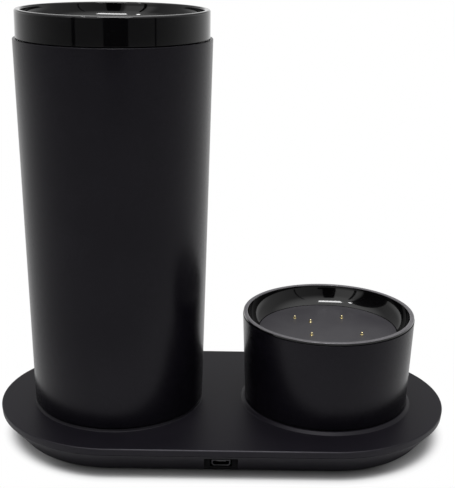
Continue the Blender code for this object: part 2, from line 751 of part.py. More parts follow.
def build_foot(owner, x, parent, with_pegs):
    """The cap under the mug or the battery base, with its contact rings and screws."""
    groove = RING_WIDTH / 2 + SEAT_GAP
    groove_top = RING_TOP + SEAT_GAP
    outline = [(0, FOOT_BOTTOM)]
    for track in (INNER_TRACK, MIDDLE_TRACK, OUTER_TRACK):
        outline += [
            (track - groove, FOOT_BOTTOM),
            (track - groove, groove_top),
            (track + groove, groove_top),
            (track + groove, FOOT_BOTTOM),
        ]
    outline += [
        (foot_outer_radius(FOOT_BOTTOM), FOOT_BOTTOM),
        *bowl_side(STATION_FLOOR, -SEAT_GAP)[1:],
        (SPIGOT_RADIUS, FOOT_SHOULDER),
        (SPIGOT_RADIUS, SPIGOT_TOP),
        (SPIGOT_RADIUS - SPIGOT_WALL, SPIGOT_TOP),
        (SPIGOT_RADIUS - SPIGOT_WALL, FOOT_SHOULDER),
        (foot_outer_radius(FOOT_FLOOR_TOP) - FOOT_WALL, FOOT_FLOOR_TOP),
        (0, FOOT_FLOOR_TOP),
    ]
    cap = add_piece(f"{owner}_foot_cap", turned(outline, INNER_SIDES, x), MATTE_BLACK, parent)
    if with_pegs:
        for degrees in PEG_ANGLES:
            peg_x, peg_y = around(MUG_BOARD_RADIUS - PEG_INSET, degrees, x)
            join(cap, rod(PEG_RADIUS, groove_top + (FOOT_FLOOR_TOP - groove_top) / 2,
                          FOOT_FLOOR_TOP + PEG_HEIGHT, PIN_SIDES, peg_x, peg_y))
    for number, degrees in enumerate(SCREW_ANGLES, 1):
        screw_x, screw_y = around(SCREW_CIRCLE, degrees, x)
        cut(cap, rod(SCREW_HEAD_RADIUS + SEAT_GAP, FOOT_BOTTOM - OVERRUN,
                     FOOT_BOTTOM + SCREW_HEAD_HEIGHT + 2 * SEAT_GAP, SMALL_SIDES, screw_x, screw_y))
        cut(cap, rod(SCREW_RADIUS + SEAT_GAP, FOOT_BOTTOM, FOOT_FLOOR_TOP + OVERRUN,
                     PIN_SIDES, screw_x, screw_y))
        add_piece(f"{owner}_foot_screw_{number}",
                  screw(FOOT_BOTTOM + SEAT_GAP, SCREW_LENGTH, screw_x, screw_y), STEEL, parent)
    for label, track in (("inner", INNER_TRACK), ("middle", MIDDLE_TRACK), ("outer", OUTER_TRACK)):
        low, high = track - RING_WIDTH / 2, track + RING_WIDTH / 2
        ring = turned([(low, RING_FACE), (high, RING_FACE), (high, RING_TOP), (low, RING_TOP)],
                      INNER_SIDES, x)
        add_piece(f"{owner}_contact_ring_{label}", ring, GOLD, parent)


def add_posts(target, top, x):
    """Three hollow posts that reach down to the foot cap, where its screws go in."""
    for degrees in SCREW_ANGLES:
        post_x, post_y = around(SCREW_CIRCLE, degrees, x)
        join(target, rod(POST_RADIUS, POST_BOTTOM, top, SMALL_SIDES, post_x, post_y))
    bore_top = FOOT_BOTTOM + SCREW_HEAD_HEIGHT + SCREW_LENGTH + POST_BORE_SPARE
    for degrees in SCREW_ANGLES:
        post_x, post_y = around(SCREW_CIRCLE, degrees, x)
        cut(target, rod(SCREW_RADIUS + SEAT_GAP, POST_BOTTOM - OVERRUN, bore_top,
                        PIN_SIDES, post_x, post_y))


def mug_radius(height):
    """Outer radius of the mug's body, which widens evenly towards its top."""
    share = (height - SHELL_BOTTOM) / (MUG_TOP - SHELL_BOTTOM)
    return MUG_FOOT_RADIUS + share * (MUG_TOP_RADIUS - MUG_FOOT_RADIUS)


def cup_radius(height):
    """Outer radius of the steel cup above its rounded bottom corner."""
    low = CUP_BOTTOM + CUP_CORNER
    share = (height - low) / (MUG_TOP - low)
    return CUP_FOOT_RADIUS + share * (CUP_RIM_RADIUS - CUP_FOOT_RADIUS)


def cup_skin(inset):
    """One skin of the cup from the middle of its bottom to the top of its corner."""
    radius = CUP_CORNER - inset
    centre = CUP_FOOT_RADIUS - CUP_CORNER
    points = [(0, CUP_BOTTOM + inset)]
    for step in range(CUP_CORNER_STEPS + 1):
        angle = math.pi / 2 * step / CUP_CORNER_STEPS
        points.append((centre + radius * math.sin(angle),
                       CUP_BOTTOM + CUP_CORNER - radius * math.cos(angle)))
    return points


def build_mug_body(parent):
    """The black shell, the steel cup hung in it, its seal and the sleeve between them."""
    ledge_top = MUG_TOP - LEDGE_DROP
    ledge_bottom = ledge_top - LEDGE_HEIGHT
    ledge_bore = CUP_RIM_RADIUS + LEDGE_CLEARANCE
    shell = turned([
        (SHELL_BORE_RADIUS, SHELL_BOTTOM),
        (MUG_FOOT_RADIUS - MUG_EDGE_ROUND, SHELL_BOTTOM),
        (MUG_FOOT_RADIUS, SHELL_BOTTOM + MUG_EDGE_ROUND),
        (MUG_TOP_RADIUS, MUG_TOP - MUG_EDGE_ROUND),
        (MUG_TOP_RADIUS - MUG_EDGE_ROUND, MUG_TOP),
        (MUG_TOP_RADIUS - MUG_WALL, MUG_TOP),
        (MUG_TOP_RADIUS - MUG_WALL, ledge_top),
        (ledge_bore, ledge_top),
        (ledge_bore, ledge_bottom),
        (mug_radius(ledge_bottom - LEDGE_HEIGHT) - MUG_WALL, ledge_bottom - LEDGE_HEIGHT),
        (mug_radius(SHELL_BOTTOM + MUG_FLANGE) - MUG_WALL, SHELL_BOTTOM + MUG_FLANGE),
        (SHELL_BORE_RADIUS, SHELL_BOTTOM + MUG_FLANGE),
    ], SHELL_SIDES, MUG_X)
    add_piece("mug_outer_shell", shell, MATTE_BLACK, parent)

    flange_top = MUG_TOP - SEAT_GAP
    flange_bottom = flange_top - CUP_FLANGE_THICKNESS
    flange_radius = MUG_TOP_RADIUS - MUG_WALL - SEAT_GAP
    inside = [(radius, height) for radius, height in reversed(cup_skin(CUP_WALL))]
    cup = turned(cup_skin(0) + [
        (cup_radius(flange_bottom), flange_bottom),
        (flange_radius, flange_bottom),
        (flange_radius, flange_top),
        (cup_radius(flange_top) - CUP_WALL, flange_top),
    ] + inside, SHELL_SIDES, MUG_X)
    add_piece("mug_inner_cup", cup, STEEL, parent)

    seal_low, seal_high = ledge_top + SEAT_GAP, flange_bottom - SEAT_GAP
    seal_inside = cup_radius(flange_bottom) + SEAT_GAP
    seal = turned([
        (seal_inside, seal_low),
        (flange_radius, seal_low),
        (flange_radius, seal_high),
        (seal_inside, seal_high),
    ], INNER_SIDES, MUG_X)
    add_piece("cup_rim_seal", seal, SILICONE, parent)

    sleeve_low = CUP_BOTTOM + CUP_CORNER + SLEEVE_FOOT_RISE
    sleeve_high = ledge_bottom - SLEEVE_TOP_DROP
    sleeve = turned([
        (cup_radius(sleeve_low) + SEAT_GAP, sleeve_low),
        (cup_radius(sleeve_low) + SEAT_GAP + SLEEVE_THICKNESS, sleeve_low),
        (cup_radius(sleeve_high) + SEAT_GAP + SLEEVE_THICKNESS, sleeve_high),
        (cup_radius(sleeve_high) + SEAT_GAP, sleeve_high),
    ], SHELL_SIDES, MUG_X)
    add_piece("insulation_sleeve", sleeve, FOAM_WHITE, parent)


def build_heater(parent):
    """What lies under the cup: plate, film, pad, sensor, carrier, lead and board."""
    plate_top = CUP_BOTTOM - SEAT_GAP
    plate_bottom = plate_top - HEATER_PLATE_THICKNESS
    film_top = plate_bottom - SEAT_GAP
    film_bottom = film_top - FILM_THICKNESS
    pad_top = film_bottom - SEAT_GAP
    pad_bottom = pad_top - PAD_THICKNESS
    tray_top = pad_bottom - SEAT_GAP
    tray_bottom = tray_top - CARRIER_WALL
    add_piece("heater_plate", rod(HEATER_PLATE_RADIUS, plate_bottom, plate_top, INNER_SIDES, MUG_X),
              ALUMINIUM, parent)
    add_piece("heating_film", turned([
        (SENSOR_HOLE_RADIUS, film_bottom),
        (FILM_RADIUS, film_bottom),
        (FILM_RADIUS, film_top),
        (SENSOR_HOLE_RADIUS, film_top),
    ], INNER_SIDES, MUG_X), FILM_AMBER, parent)

    pad = add_piece("heater_insulation", turned([
        (SENSOR_HOLE_RADIUS, pad_bottom),
        (PAD_RADIUS, pad_bottom),
        (PAD_RADIUS, pad_top),
        (SENSOR_HOLE_RADIUS, pad_top),
    ], INNER_SIDES, MUG_X), FOAM_WHITE, parent)
    cut(pad, rod(LEAD_HOLE_RADIUS, pad_bottom - OVERRUN, pad_top + OVERRUN,
                 SMALL_SIDES, MUG_X, LEAD_HOLE_PLACE))
    add_piece("temperature_sensor",
              rod(SENSOR_RADIUS, film_top - SENSOR_HEIGHT, film_top, SMALL_SIDES, MUG_X),
              NYLON_GREY, parent)

    rim_top = tray_bottom + CARRIER_RIM_RISE
    tray = add_piece("heater_carrier", turned([
        (0, tray_bottom),
        (CARRIER_RADIUS, tray_bottom),
        (CARRIER_RADIUS, rim_top),
        (CARRIER_RADIUS - CARRIER_WALL, rim_top),
        (CARRIER_RADIUS - CARRIER_WALL, tray_top),
        (0, tray_top),
    ], INNER_SIDES, MUG_X), NYLON_GREY, parent)
    add_posts(tray, tray_top - CARRIER_WALL / 2, MUG_X)
    cut(tray, rod(LEAD_HOLE_RADIUS, tray_bottom - OVERRUN, tray_top + OVERRUN,
                  SMALL_SIDES, MUG_X, LEAD_HOLE_PLACE))

    board_bottom = FOOT_FLOOR_TOP + PEG_HEIGHT + SEAT_GAP
    board_top = board_bottom + BOARD_THICKNESS
    add_piece("mug_control_board",
              rod(MUG_BOARD_RADIUS, board_bottom, board_top, INNER_SIDES, MUG_X),
              BOARD_GREEN, parent)
    build_heater_lead(board_top + SEAT_GAP, film_bottom - SEAT_GAP, parent)


def build_heater_lead(low, high, parent):
    """The lead from the board up to the film, with slack in a gentle bow."""
    curve = bpy.data.curves.new("heater_lead", "CURVE")
    curve.dimensions = "3D"
    curve.bevel_depth = LEAD_RADIUS
    curve.bevel_resolution = 1
    curve.use_fill_caps = True
    spline = curve.splines.new("POLY")
    spline.points.add(LEAD_STEPS)
    origin = world_place(parent)
    for step, point in enumerate(spline.points):
        share = step / LEAD_STEPS
        bow = LEAD_BEND * math.sin(math.pi * share) ** 2 * (1 - share)
        place = Vector((MUG_X, LEAD_HOLE_PLACE - bow, low + share * (high - low))) - origin
        point.co = (*place, 1)
    curve.materials.append(finish_material(WIRE_RED))
    lead = bpy.data.objects.new("heater_lead", curve)
    bpy.context.collection.objects.link(lead)
    lead.parent = parent


def dish_side():
    """Points down the dish's side, a quarter arc from inside the rim to its floor."""
    points = []
    for step in range(DISH_STEPS + 1):
        angle = math.pi / 2 * step / DISH_STEPS
        points.append((DISH_FLOOR_RADIUS + DISH_ARC * math.cos(angle),
                       DISH_FLOOR + DISH_ARC - DISH_ARC * math.sin(angle)))
    return points


def build_lid(parent):
    """The gloss lid with its dish, sip opening, slider slot and vent."""
    lid = add_piece("lid_shell", turned([
        (0, LID_BOTTOM),
        (LID_RADIUS, LID_BOTTOM),
        (LID_RADIUS, LID_TOP - LID_RIM_ROUND),
        (LID_RADIUS - LID_RIM_ROUND, LID_TOP),
        (DISH_RIM_RADIUS + LID_RIM_ROUND, LID_TOP),
        *dish_side(),
        (0, DISH_FLOOR),
    ], SHELL_SIDES, MUG_X), GLOSS_BLACK, parent)
    low, high = LID_BOTTOM - OVERRUN, DISH_FLOOR + OVERRUN
    cut(lid, round_upright_edges(block(
        (MUG_X - SIP_LENGTH / 2, -SIP_PLACE - SIP_WIDTH / 2, low),
        (MUG_X + SIP_LENGTH / 2, -SIP_PLACE + SIP_WIDTH / 2, high),
    ), SIP_CORNER))
    half_width = STEM_WIDTH / 2 + SEAT_GAP
    half_length = STEM_LENGTH / 2 + SEAT_GAP
    cut(lid, block((MUG_X - half_width, STEM_PLACE - half_length - SLIDER_TRAVEL, low),
                   (MUG_X + half_width, STEM_PLACE + half_length, high)))
    cut(lid, rod(VENT_RADIUS, low, high, PIN_SIDES, MUG_X, VENT_PLACE))


def build_lid_plug(parent):
    """The plug under the lid and the seal in its groove, which presses on the cup."""
    plug_top = LID_BOTTOM - SEAT_GAP
    plug_bottom = plug_top - PLUG_LENGTH
    groove_top = plug_top - SEAL_GROOVE_DROP
    groove_bottom = groove_top - SEAL_GROOVE_HEIGHT
    groove_radius = PLUG_RADIUS - SEAL_GROOVE_DEPTH
    add_piece("lid_plug", turned([
        (PLUG_RADIUS - PLUG_WALL, plug_bottom),
        (PLUG_RADIUS, plug_bottom),
        (PLUG_RADIUS, groove_bottom),
        (groove_radius, groove_bottom),
        (groove_radius, groove_top),
        (PLUG_RADIUS, groove_top),
        (PLUG_RADIUS, plug_top),
        (PLUG_RADIUS - PLUG_WALL, plug_top),
    ], INNER_SIDES, MUG_X), MATTE_BLACK, parent)
    low, high = groove_bottom + SEAT_GAP, groove_top - SEAT_GAP
    middle = (low + high) / 2
    add_piece("lid_seal", turned([
        (groove_radius + SEAT_GAP, low),
        (PLUG_RADIUS, low),
        (cup_radius(middle) - CUP_WALL - SEAT_GAP, middle),
        (PLUG_RADIUS, high),
        (groove_radius + SEAT_GAP, high),
    ], INNER_SIDES, MUG_X), SILICONE, parent)


def across_stem(half_width, spare, low, high):
    """A block about the slider's stem, as far past its front and back as the spare says."""
    half_length = STEM_LENGTH / 2 + spare
    return block((MUG_X - half_width, STEM_PLACE - half_length, low),
                 (MUG_X + half_width, STEM_PLACE + half_length, high))


def build_slider(parent):
    """The tab that closes the sip opening, its pad, and the retainer under the floor."""
    pad_low = DISH_FLOOR + SEAT_GAP
    pad_high = pad_low + SLIDER_PAD_THICKNESS
    low = pad_high + SEAT_GAP
    high = low + SLIDER_THICKNESS
    side = SLIDER_WIDTH / 2
    moving = carrier("slider_travel", (MUG_X, STEM_PLACE, low), parent)
    tab = add_piece("lid_slider", round_upright_edges(block(
        (MUG_X - side, SLIDER_FRONT, low), (MUG_X + side, SLIDER_BACK, high),
    ), SLIDER_THICKNESS), GLOSS_BLACK, moving)
    buried = high - SLIDER_THICKNESS / 2
    join(tab, block((MUG_X - GRIP_WIDTH / 2, STEM_PLACE - GRIP_LENGTH / 2, buried),
                    (MUG_X + GRIP_WIDTH / 2, STEM_PLACE + GRIP_LENGTH / 2, high + GRIP_HEIGHT)))
    retainer_top = LID_BOTTOM - SEAT_GAP
    join(tab, across_stem(STEM_WIDTH / 2, 0, retainer_top - RETAINER_THICKNESS / 2, buried))
    join(tab, across_stem(RETAINER_WIDTH / 2, 0, retainer_top - RETAINER_THICKNESS, retainer_top))
    inset = SLIDER_PAD_THICKNESS
    pad = add_piece("slider_pad", round_upright_edges(block(
        (MUG_X - side + inset, SLIDER_FRONT + inset, pad_low),
        (MUG_X + side - inset, SLIDER_BACK - inset, pad_high),
    ), SLIDER_PAD_THICKNESS), SILICONE, moving)
    cut(pad, across_stem(STEM_WIDTH / 2 + SEAT_GAP, SEAT_GAP, pad_low - OVERRUN, pad_high + OVERRUN))


def build_base_housing(parent):
    """The battery base's outer shell, gloss bowl and the plate on the bowl's floor."""
    shell_top = BASE_RIM_TOP - BOWL_FLANGE - SEAT_GAP
    bore_top = BASE_RIM_RADIUS - BASE_TOP_WALL
    add_piece("base_outer_shell", turned([
        (SHELL_BORE_RADIUS, SHELL_BOTTOM),
        (BASE_FOOT_RADIUS - MUG_EDGE_ROUND, SHELL_BOTTOM),
        (BASE_FOOT_RADIUS, SHELL_BOTTOM + MUG_EDGE_ROUND),
        (BASE_RIM_RADIUS, shell_top),
        (BASE_RIM_RADIUS - MUG_EDGE_ROUND, shell_top),
        (bore_top, shell_top - BOWL_FLANGE),
    ], SHELL_SIDES, BASE_X), MATTE_BLACK, parent)

    flange_radius = BASE_RIM_RADIUS - BOWL_RIM_ROUND / 2
    wall_foot = BOWL_FLOOR_RADIUS + BOWL_WALL
    wall_head = bore_top - SEAT_GAP
    bowl = add_piece("base_bowl", turned([
        (0, SHELF_BOTTOM),
        (wall_foot, SHELF_BOTTOM),
        (wall_head, shell_top - BOWL_WALL),
        (wall_head, BASE_RIM_TOP - BOWL_FLANGE),
        (flange_radius, BASE_RIM_TOP - BOWL_FLANGE),
        (flange_radius, BASE_RIM_TOP - BOWL_RIM_ROUND),
        (flange_radius - BOWL_RIM_ROUND, BASE_RIM_TOP),
        (BOWL_RIM_RADIUS + BOWL_RIM_ROUND, BASE_RIM_TOP),
        (bowl_radius(BOWL_DEPTH - BOWL_RIM_ROUND), BASE_RIM_TOP - BOWL_RIM_ROUND),
        *reversed(bowl_side(BOWL_FLOOR, last=BOWL_STEPS - 1)),
        (BOWL_FLOOR_RADIUS, SHELF_TOP),
        (0, SHELF_TOP),
    ], SHELL_SIDES, BASE_X), GLOSS_BLACK, parent)
    add_posts(bowl, SHELF_TOP - BOWL_FLOOR_THICKNESS / 2, BASE_X)

    plate = add_piece("bowl_floor_plate",
                      rod(BOWL_FLOOR_RADIUS - SEAT_GAP, SHELF_TOP + SEAT_GAP, BOWL_FLOOR,
                          SHELL_SIDES, BASE_X),
                      MATTE_BLACK, parent)
    for x, y in pins_about(BASE_X):
        for target, low, high in ((plate, SHELF_TOP, BOWL_FLOOR), (bowl, SHELF_BOTTOM, SHELF_TOP)):
            cut(target, rod(PIN_HOLE_RADIUS, low - OVERRUN, high + OVERRUN, PIN_SIDES, x, y))


def build_pin_block(parent):
    """The block under the bowl whose bores guide the five pins, and the pins."""
    pin_block = add_piece("base_pin_block",
                          rod(BLOCK_RADIUS, PIN_BLOCK_BOTTOM, PIN_BLOCK_TOP, INNER_SIDES, BASE_X),
                          NYLON_GREY, parent)
    bore_bottom = PIN_BLOCK_BOTTOM + PIN_SPRING_SPACE
    pin_bottom = bore_bottom + PIN_TRAVEL + SEAT_GAP
    for number, (x, y) in enumerate(pins_about(BASE_X), 1):
        cut(pin_block, rod(PIN_BORE, bore_bottom, PIN_BLOCK_TOP + OVERRUN, PIN_SIDES, x, y))
        moving = carrier(f"bowl_pin_{number}_press", (x, y, BOWL_FLOOR), parent)
        add_piece(f"bowl_pin_{number}", contact_pin(pin_bottom, BOWL_FLOOR, x, y), GOLD, moving)


def build_base_inside(parent):
    """The battery base's board, and its two flat cells in a tray between the posts."""
    board_top = BASE_BOARD_BOTTOM + BOARD_THICKNESS
    add_piece("base_control_board",
              rod(BLOCK_RADIUS + BASE_BOARD_EDGE, BASE_BOARD_BOTTOM, board_top, INNER_SIDES, BASE_X),
              BOARD_GREEN, parent)
    post_x = around(SCREW_CIRCLE, SCREW_ANGLES[2])[0]
    tray_x = post_x - POST_RADIUS - TRAY_SIDE_CLEARANCE
    tray_y = SCREW_CIRCLE - POST_RADIUS - TRAY_END_CLEARANCE
    tray_top = TRAY_BOTTOM + TRAY_HEIGHT
    tray = add_piece("cell_tray", round_upright_edges(block(
        (BASE_X - tray_x, -tray_y, TRAY_BOTTOM),
        (BASE_X + tray_x, tray_y, tray_top),
    ), CELL_ROUND + TRAY_WALL), NYLON_GREY, parent)
    room_x = tray_x - TRAY_WALL
    room_y = tray_y - TRAY_WALL
    cut(tray, round_upright_edges(block(
        (BASE_X - room_x, -room_y, TRAY_BOTTOM + TRAY_FLOOR),
        (BASE_X + room_x, room_y, tray_top + OVERRUN),
    ), CELL_ROUND))
    half_x, half_y = room_x - SEAT_GAP, room_y - SEAT_GAP
    for name, low in (("battery_cell_lower", CELLS_BOTTOM),
                      ("battery_cell_upper", CELLS_TOP - CELL_HEIGHT)):
        cell = block((BASE_X - half_x, -half_y, low), (BASE_X + half_x, half_y, low + CELL_HEIGHT))
        add_piece(name, round_upright_edges(cell, CELL_ROUND), CELL_WRAP, parent)


def main():
    clear_scene()
    build_dock_cover()
    build_dock_pan()
    build_dock_feet()
    build_dock_screws()
    build_dock_board()
    build_socket()
    build_station_contacts("left", MUG_X)
    build_station_contacts("right", BASE_X)

    mug = carrier("mug_lift", (MUG_X, 0, PLATE_TOP))
    build_mug_body(mug)
    build_heater(mug)
    build_foot("mug", MUG_X, mug, with_pegs=True)
    lid = carrier("lid_lift", (MUG_X, 0, MUG_TOP), mug)
    build_lid(lid)
    build_lid_plug(lid)
    build_slider(lid)

    base = carrier("base_lift", (BASE_X, 0, PLATE_TOP))
    build_base_housing(base)
    build_pin_block(base)
    build_base_inside(base)
    build_foot("base", BASE_X, base, with_pegs=False)


main()
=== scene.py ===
# %% [markdown]
# # A heated mug and its battery base on their charging dock
#
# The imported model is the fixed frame: it says how big every piece is and where it stands.
# This script gives the pieces that show a fine surface, and every piece its finish. All
# lengths are in metres, and +Z is up. The mug stands at -X, the battery base at +X.

# %% Load the frame
import math

import bmesh
import bpy
from mathutils import Matrix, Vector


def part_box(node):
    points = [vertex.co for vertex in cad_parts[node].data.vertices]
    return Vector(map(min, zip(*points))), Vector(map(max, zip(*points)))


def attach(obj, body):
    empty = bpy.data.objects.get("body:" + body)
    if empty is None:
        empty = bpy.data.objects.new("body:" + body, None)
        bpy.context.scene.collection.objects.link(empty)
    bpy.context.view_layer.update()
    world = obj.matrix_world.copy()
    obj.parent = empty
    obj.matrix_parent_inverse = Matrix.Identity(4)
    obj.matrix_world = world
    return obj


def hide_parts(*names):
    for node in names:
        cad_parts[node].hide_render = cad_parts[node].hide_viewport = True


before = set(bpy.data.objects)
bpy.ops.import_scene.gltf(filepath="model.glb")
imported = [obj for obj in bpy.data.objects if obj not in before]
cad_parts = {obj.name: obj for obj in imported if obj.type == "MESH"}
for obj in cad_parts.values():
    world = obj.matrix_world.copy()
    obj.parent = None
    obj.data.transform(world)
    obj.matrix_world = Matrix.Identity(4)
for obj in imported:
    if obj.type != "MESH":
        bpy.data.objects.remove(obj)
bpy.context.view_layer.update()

MM = 0.001
print("nodes in the frame:", len(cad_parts))

# %% [markdown]
# ## Measure before making
#
# A finer piece has to sit exactly where its plain solid sits. So radii and levels are read
# from the boxes of the nodes, and only what a box can't tell, such as a wall or a rounding,
# is given as a value of its own.

# %% Read sizes from the frame
def centre_of(node):
    """The middle of a node's box, seen from above."""
    low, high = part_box(node)
    return (low.x + high.x) / 2, (low.y + high.y) / 2


def extent_of(node):
    """Half a node's width from left to right, its lowest and its highest level."""
    low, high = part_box(node)
    return (high.x - low.x) / 2, low.z, high.z


def radius_of(node):
    return extent_of(node)[0]


def low_of(node):
    return extent_of(node)[1]


def high_of(node):
    return extent_of(node)[2]


GAP = 0.3 * MM
mug_x = centre_of("mug_outer_shell")[0]
base_x = centre_of("base_outer_shell")[0]
spacing = base_x - mug_x
print("stations are", round(spacing / MM, 2), "mm apart")

# %% [markdown]
# ## The camera
#
# The photograph looks down on the mug by some 17 degrees and from close by, so upright
# lines lean. The lens and the place were worked out from the ellipses of the rims. A turn
# about the camera's own axis gives the slight roll that the dock's front edge shows.

# %% Place the camera
CAMERA_PLACE = (1.38 * MM, -425.46 * MM, 213.53 * MM)
CAMERA_PITCH = 16.896
CAMERA_ROLL = 0.8222
CAMERA_LENS = 77.48
SENSOR_WIDTH = 36.0
NEAREST = 10 * MM


def add_object(name, data):
    """A new object in the scene."""
    made = bpy.data.objects.new(name, data)
    bpy.context.scene.collection.objects.link(made)
    return made


camera = add_object("camera", bpy.data.cameras.new("camera"))
camera.data.lens = CAMERA_LENS
camera.data.sensor_width = SENSOR_WIDTH
camera.data.clip_start = NEAREST
looking = Matrix.Rotation(math.radians(90 - CAMERA_PITCH), 4, "X")
rolled = Matrix.Rotation(math.radians(CAMERA_ROLL), 4, "Z")
camera.matrix_world = Matrix.Translation(CAMERA_PLACE) @ looking @ rolled
bpy.context.scene.camera = camera
bpy.context.scene.view_settings.view_transform = "Standard"
print("camera looks down by", CAMERA_PITCH, "degrees")

# %% [markdown]
# ## Shader sums as plain Python
#
# A finish is easier to read as a sum than as a web of nodes. A small class wraps one output
# socket. Adding or multiplying two of them makes the Math node, and one method makes any
# other node from its type, its settings and the values of its sockets.

# %% Wrap a socket
class Value:
    """An output socket of a node tree that takes part in Python sums."""

    def __init__(self, tree, socket):
        self.tree = tree
        self.socket = socket

    def node(self, kind, sockets, output=0, **settings):
        """Any node: its type, the values or links of its sockets, and its settings."""
        made = self.tree.nodes.new("ShaderNode" + kind)
        for name, setting in settings.items():
            setattr(made, name, setting)
        for key, given in sockets.items():
            if isinstance(given, Value):
                self.tree.links.new(given.socket, made.inputs[key])
            else:
                made.inputs[key].default_value = given
        return Value(self.tree, made.outputs[output])

    def math(self, operation, first, second=0.0):
        return self.node("Math", {0: first, 1: second}, operation=operation)

    def __add__(self, other):
        return self.math("ADD", self, other)

    def __sub__(self, other):
        return self.math("SUBTRACT", self, other)

    def __rsub__(self, other):
        return self.math("SUBTRACT", other, self)

    def __mul__(self, other):
        return self.math("MULTIPLY", self, other)

    def __truediv__(self, other):
        return self.math("DIVIDE", self, other)

    def __abs__(self):
        return self.math("ABSOLUTE", self)

    __radd__ = __add__


# %% Patterns that several finishes share
def spot(place, centre=(0, 0, 0), scale=(1, 1, 1)):
    """Coordinates measured from another centre, or squeezed along an axis."""
    moved = tuple(-c * s for c, s in zip(centre, scale))
    return place.node("Mapping", {0: place, "Location": moved, "Scale": scale})


def noise(place, size, detail=2.0, rough=0.5):
    """Soft noise whose blotches are about as large as the size says."""
    return place.node("TexNoise", {"Vector": place, "Scale": 1 / size, "Detail": detail,
                                   "Roughness": rough})


def cells(place, size):
    """Voronoi cells about as large as the size says."""
    return place.node("TexVoronoi", {"Vector": place, "Scale": 1 / size})


def rise(value, low, high, start=0.0, end=1.0):
    """A smooth step from start to end while the value goes from low to high."""
    sockets = {"Value": value, "From Min": low, "From Max": high, "To Min": start, "To Max": end}
    return value.node("MapRange", sockets, interpolation_type="SMOOTHSTEP")


def mixed(share, first, second):
    """Two colours mixed by a share."""
    return share.node("Mix", {0: share, 6: first, 7: second}, output=2, data_type="RGBA")


def clouded(clouds, dark, pale):
    """A colour that drifts between two tones with a soft noise."""
    return mixed(rise(clouds, 0.3, 0.7), dark, pale)


def axes(place):
    """The three coordinates of a place."""
    outputs = place.node("SeparateXYZ", {0: place}).socket.node.outputs
    return [Value(place.tree, socket) for socket in outputs]


def length_of(across, deep):
    return across.math("SQRT", across * across + deep * deep)


def bump(height, depth, strength):
    """A normal from a height, whose full range is as deep as the depth says."""
    return height.node("Bump", {"Strength": strength, "Distance": depth, "Height": height})


# %% Start a material
FINISHES = {}


def new_finish(name, **constants):
    """Starts a Principled material with its constants, and gives the place patterns read."""
    made = bpy.data.materials.new(name)
    made.use_nodes = True
    tree = made.node_tree
    FINISHES[name] = made
    shader = tree.nodes["Principled BSDF"]
    for socket, value in constants.items():
        shader.inputs[socket.replace("_", " ")].default_value = value
    return shader, Value(tree, tree.nodes.new("ShaderNodeTexCoord").outputs["Object"])


def feed(shader, **values):
    """Links what varies to the shader's sockets."""
    for socket, value in values.items():
        value.tree.links.new(value.socket, shader.inputs[socket.replace("_", " ")])


# %% [markdown]
# ## Black coatings
#
# The mug's shell and the battery base's shell are plastic under a soft matte lacquer. It
# scatters light, so the finish needs some roughness and a bump as fine as the lacquer's
# own orange peel. The base colour is not flat: faint clouds come from handling. The dock is
# coated too, but a painted highlight, a paler and smoother grey, runs along its upper edge,
# and its notch is painted near black as shade.

# %% Matte lacquer of the two shells and the dock
LACQUER_GRAIN = 0.16 * MM
LACQUER_DEPTH = 0.010 * MM
COOL_SHEEN = (0.95, 0.93, 1.0, 1)
# Near black of the painted shade in the dock's notch.
NOTCH_SHADE_BLACK = (0.0008, 0.0008, 0.0009, 1)
# Grey of the painted highlight along the dock's upper edge.
EDGE_HIGHLIGHT_GREY = (0.072, 0.069, 0.079, 1)
NOTCH_MASK = (6.83 * MM, -40.0 * MM, 9.45 * MM)
MASK_FADE = 0.02 * MM
PLATE_BELOW_COLLAR = 1.1 * MM
# Width, fade and fading ends of the painted highlight along the dock's upper edge.
EDGE_HIGHLIGHT_WIDTH = 0.36 * MM
EDGE_HIGHLIGHT_FADE = (-0.25 * MM, 0.25 * MM)
EDGE_HIGHLIGHT_ENDS = (15 * MM, 70 * MM)


def matte_lacquer(name, dark, pale, roughness, sheen_level, bare=None, highlit=None):
    """Soft matte lacquer: fine grain, faint clouds, and a polish that varies a little.

    It can carry painted shade in one region and a painted highlight in another, each told by a
    share."""
    shader, place = new_finish(name, IOR=1.45, Specular_IOR_Level=sheen_level,
                               Specular_Tint=COOL_SHEEN)
    clouds = noise(place, 22 * MM, 3)
    grain = noise(place, LACQUER_GRAIN, 2, 0.6)
    colour = clouded(clouds, dark, pale)
    polish = clouds * 0.06 + grain * 0.05 + (roughness - 0.055)
    # Painted shade darkens the notch; a painted highlight, paler and smoother, runs along the upper
    # edge.
    for region, tone, change in ((bare, NOTCH_SHADE_BLACK, 0.35), (highlit, EDGE_HIGHLIGHT_GREY, -0.14)):
        if region:
            share = region(place)
            colour = mixed(share, colour, tone)
            polish = polish + share * change
    feed(shader, Base_Color=colour, Roughness=polish, Normal=bump(grain, LACQUER_DEPTH, 0.6))


def notch_shade(place):
    """One inside the notch at the dock's front, where the coating is painted near black as shade.
    """
    half_width, back, top = NOTCH_MASK
    x, y, z = axes(place)
    across = rise(abs(x), half_width, half_width + MASK_FADE, 1, 0)
    front = rise(y, back, back + 5 * MASK_FADE, 1, 0)
    return across * front * rise(z, top, top + MASK_FADE, 1, 0)


def from_dock_line(x, y):
    """How far a place is beyond the stations' axes, and from the line between them."""
    beside = x.math("MAXIMUM", abs(x) - spacing / 2, 0.0)
    return beside, length_of(beside, y)


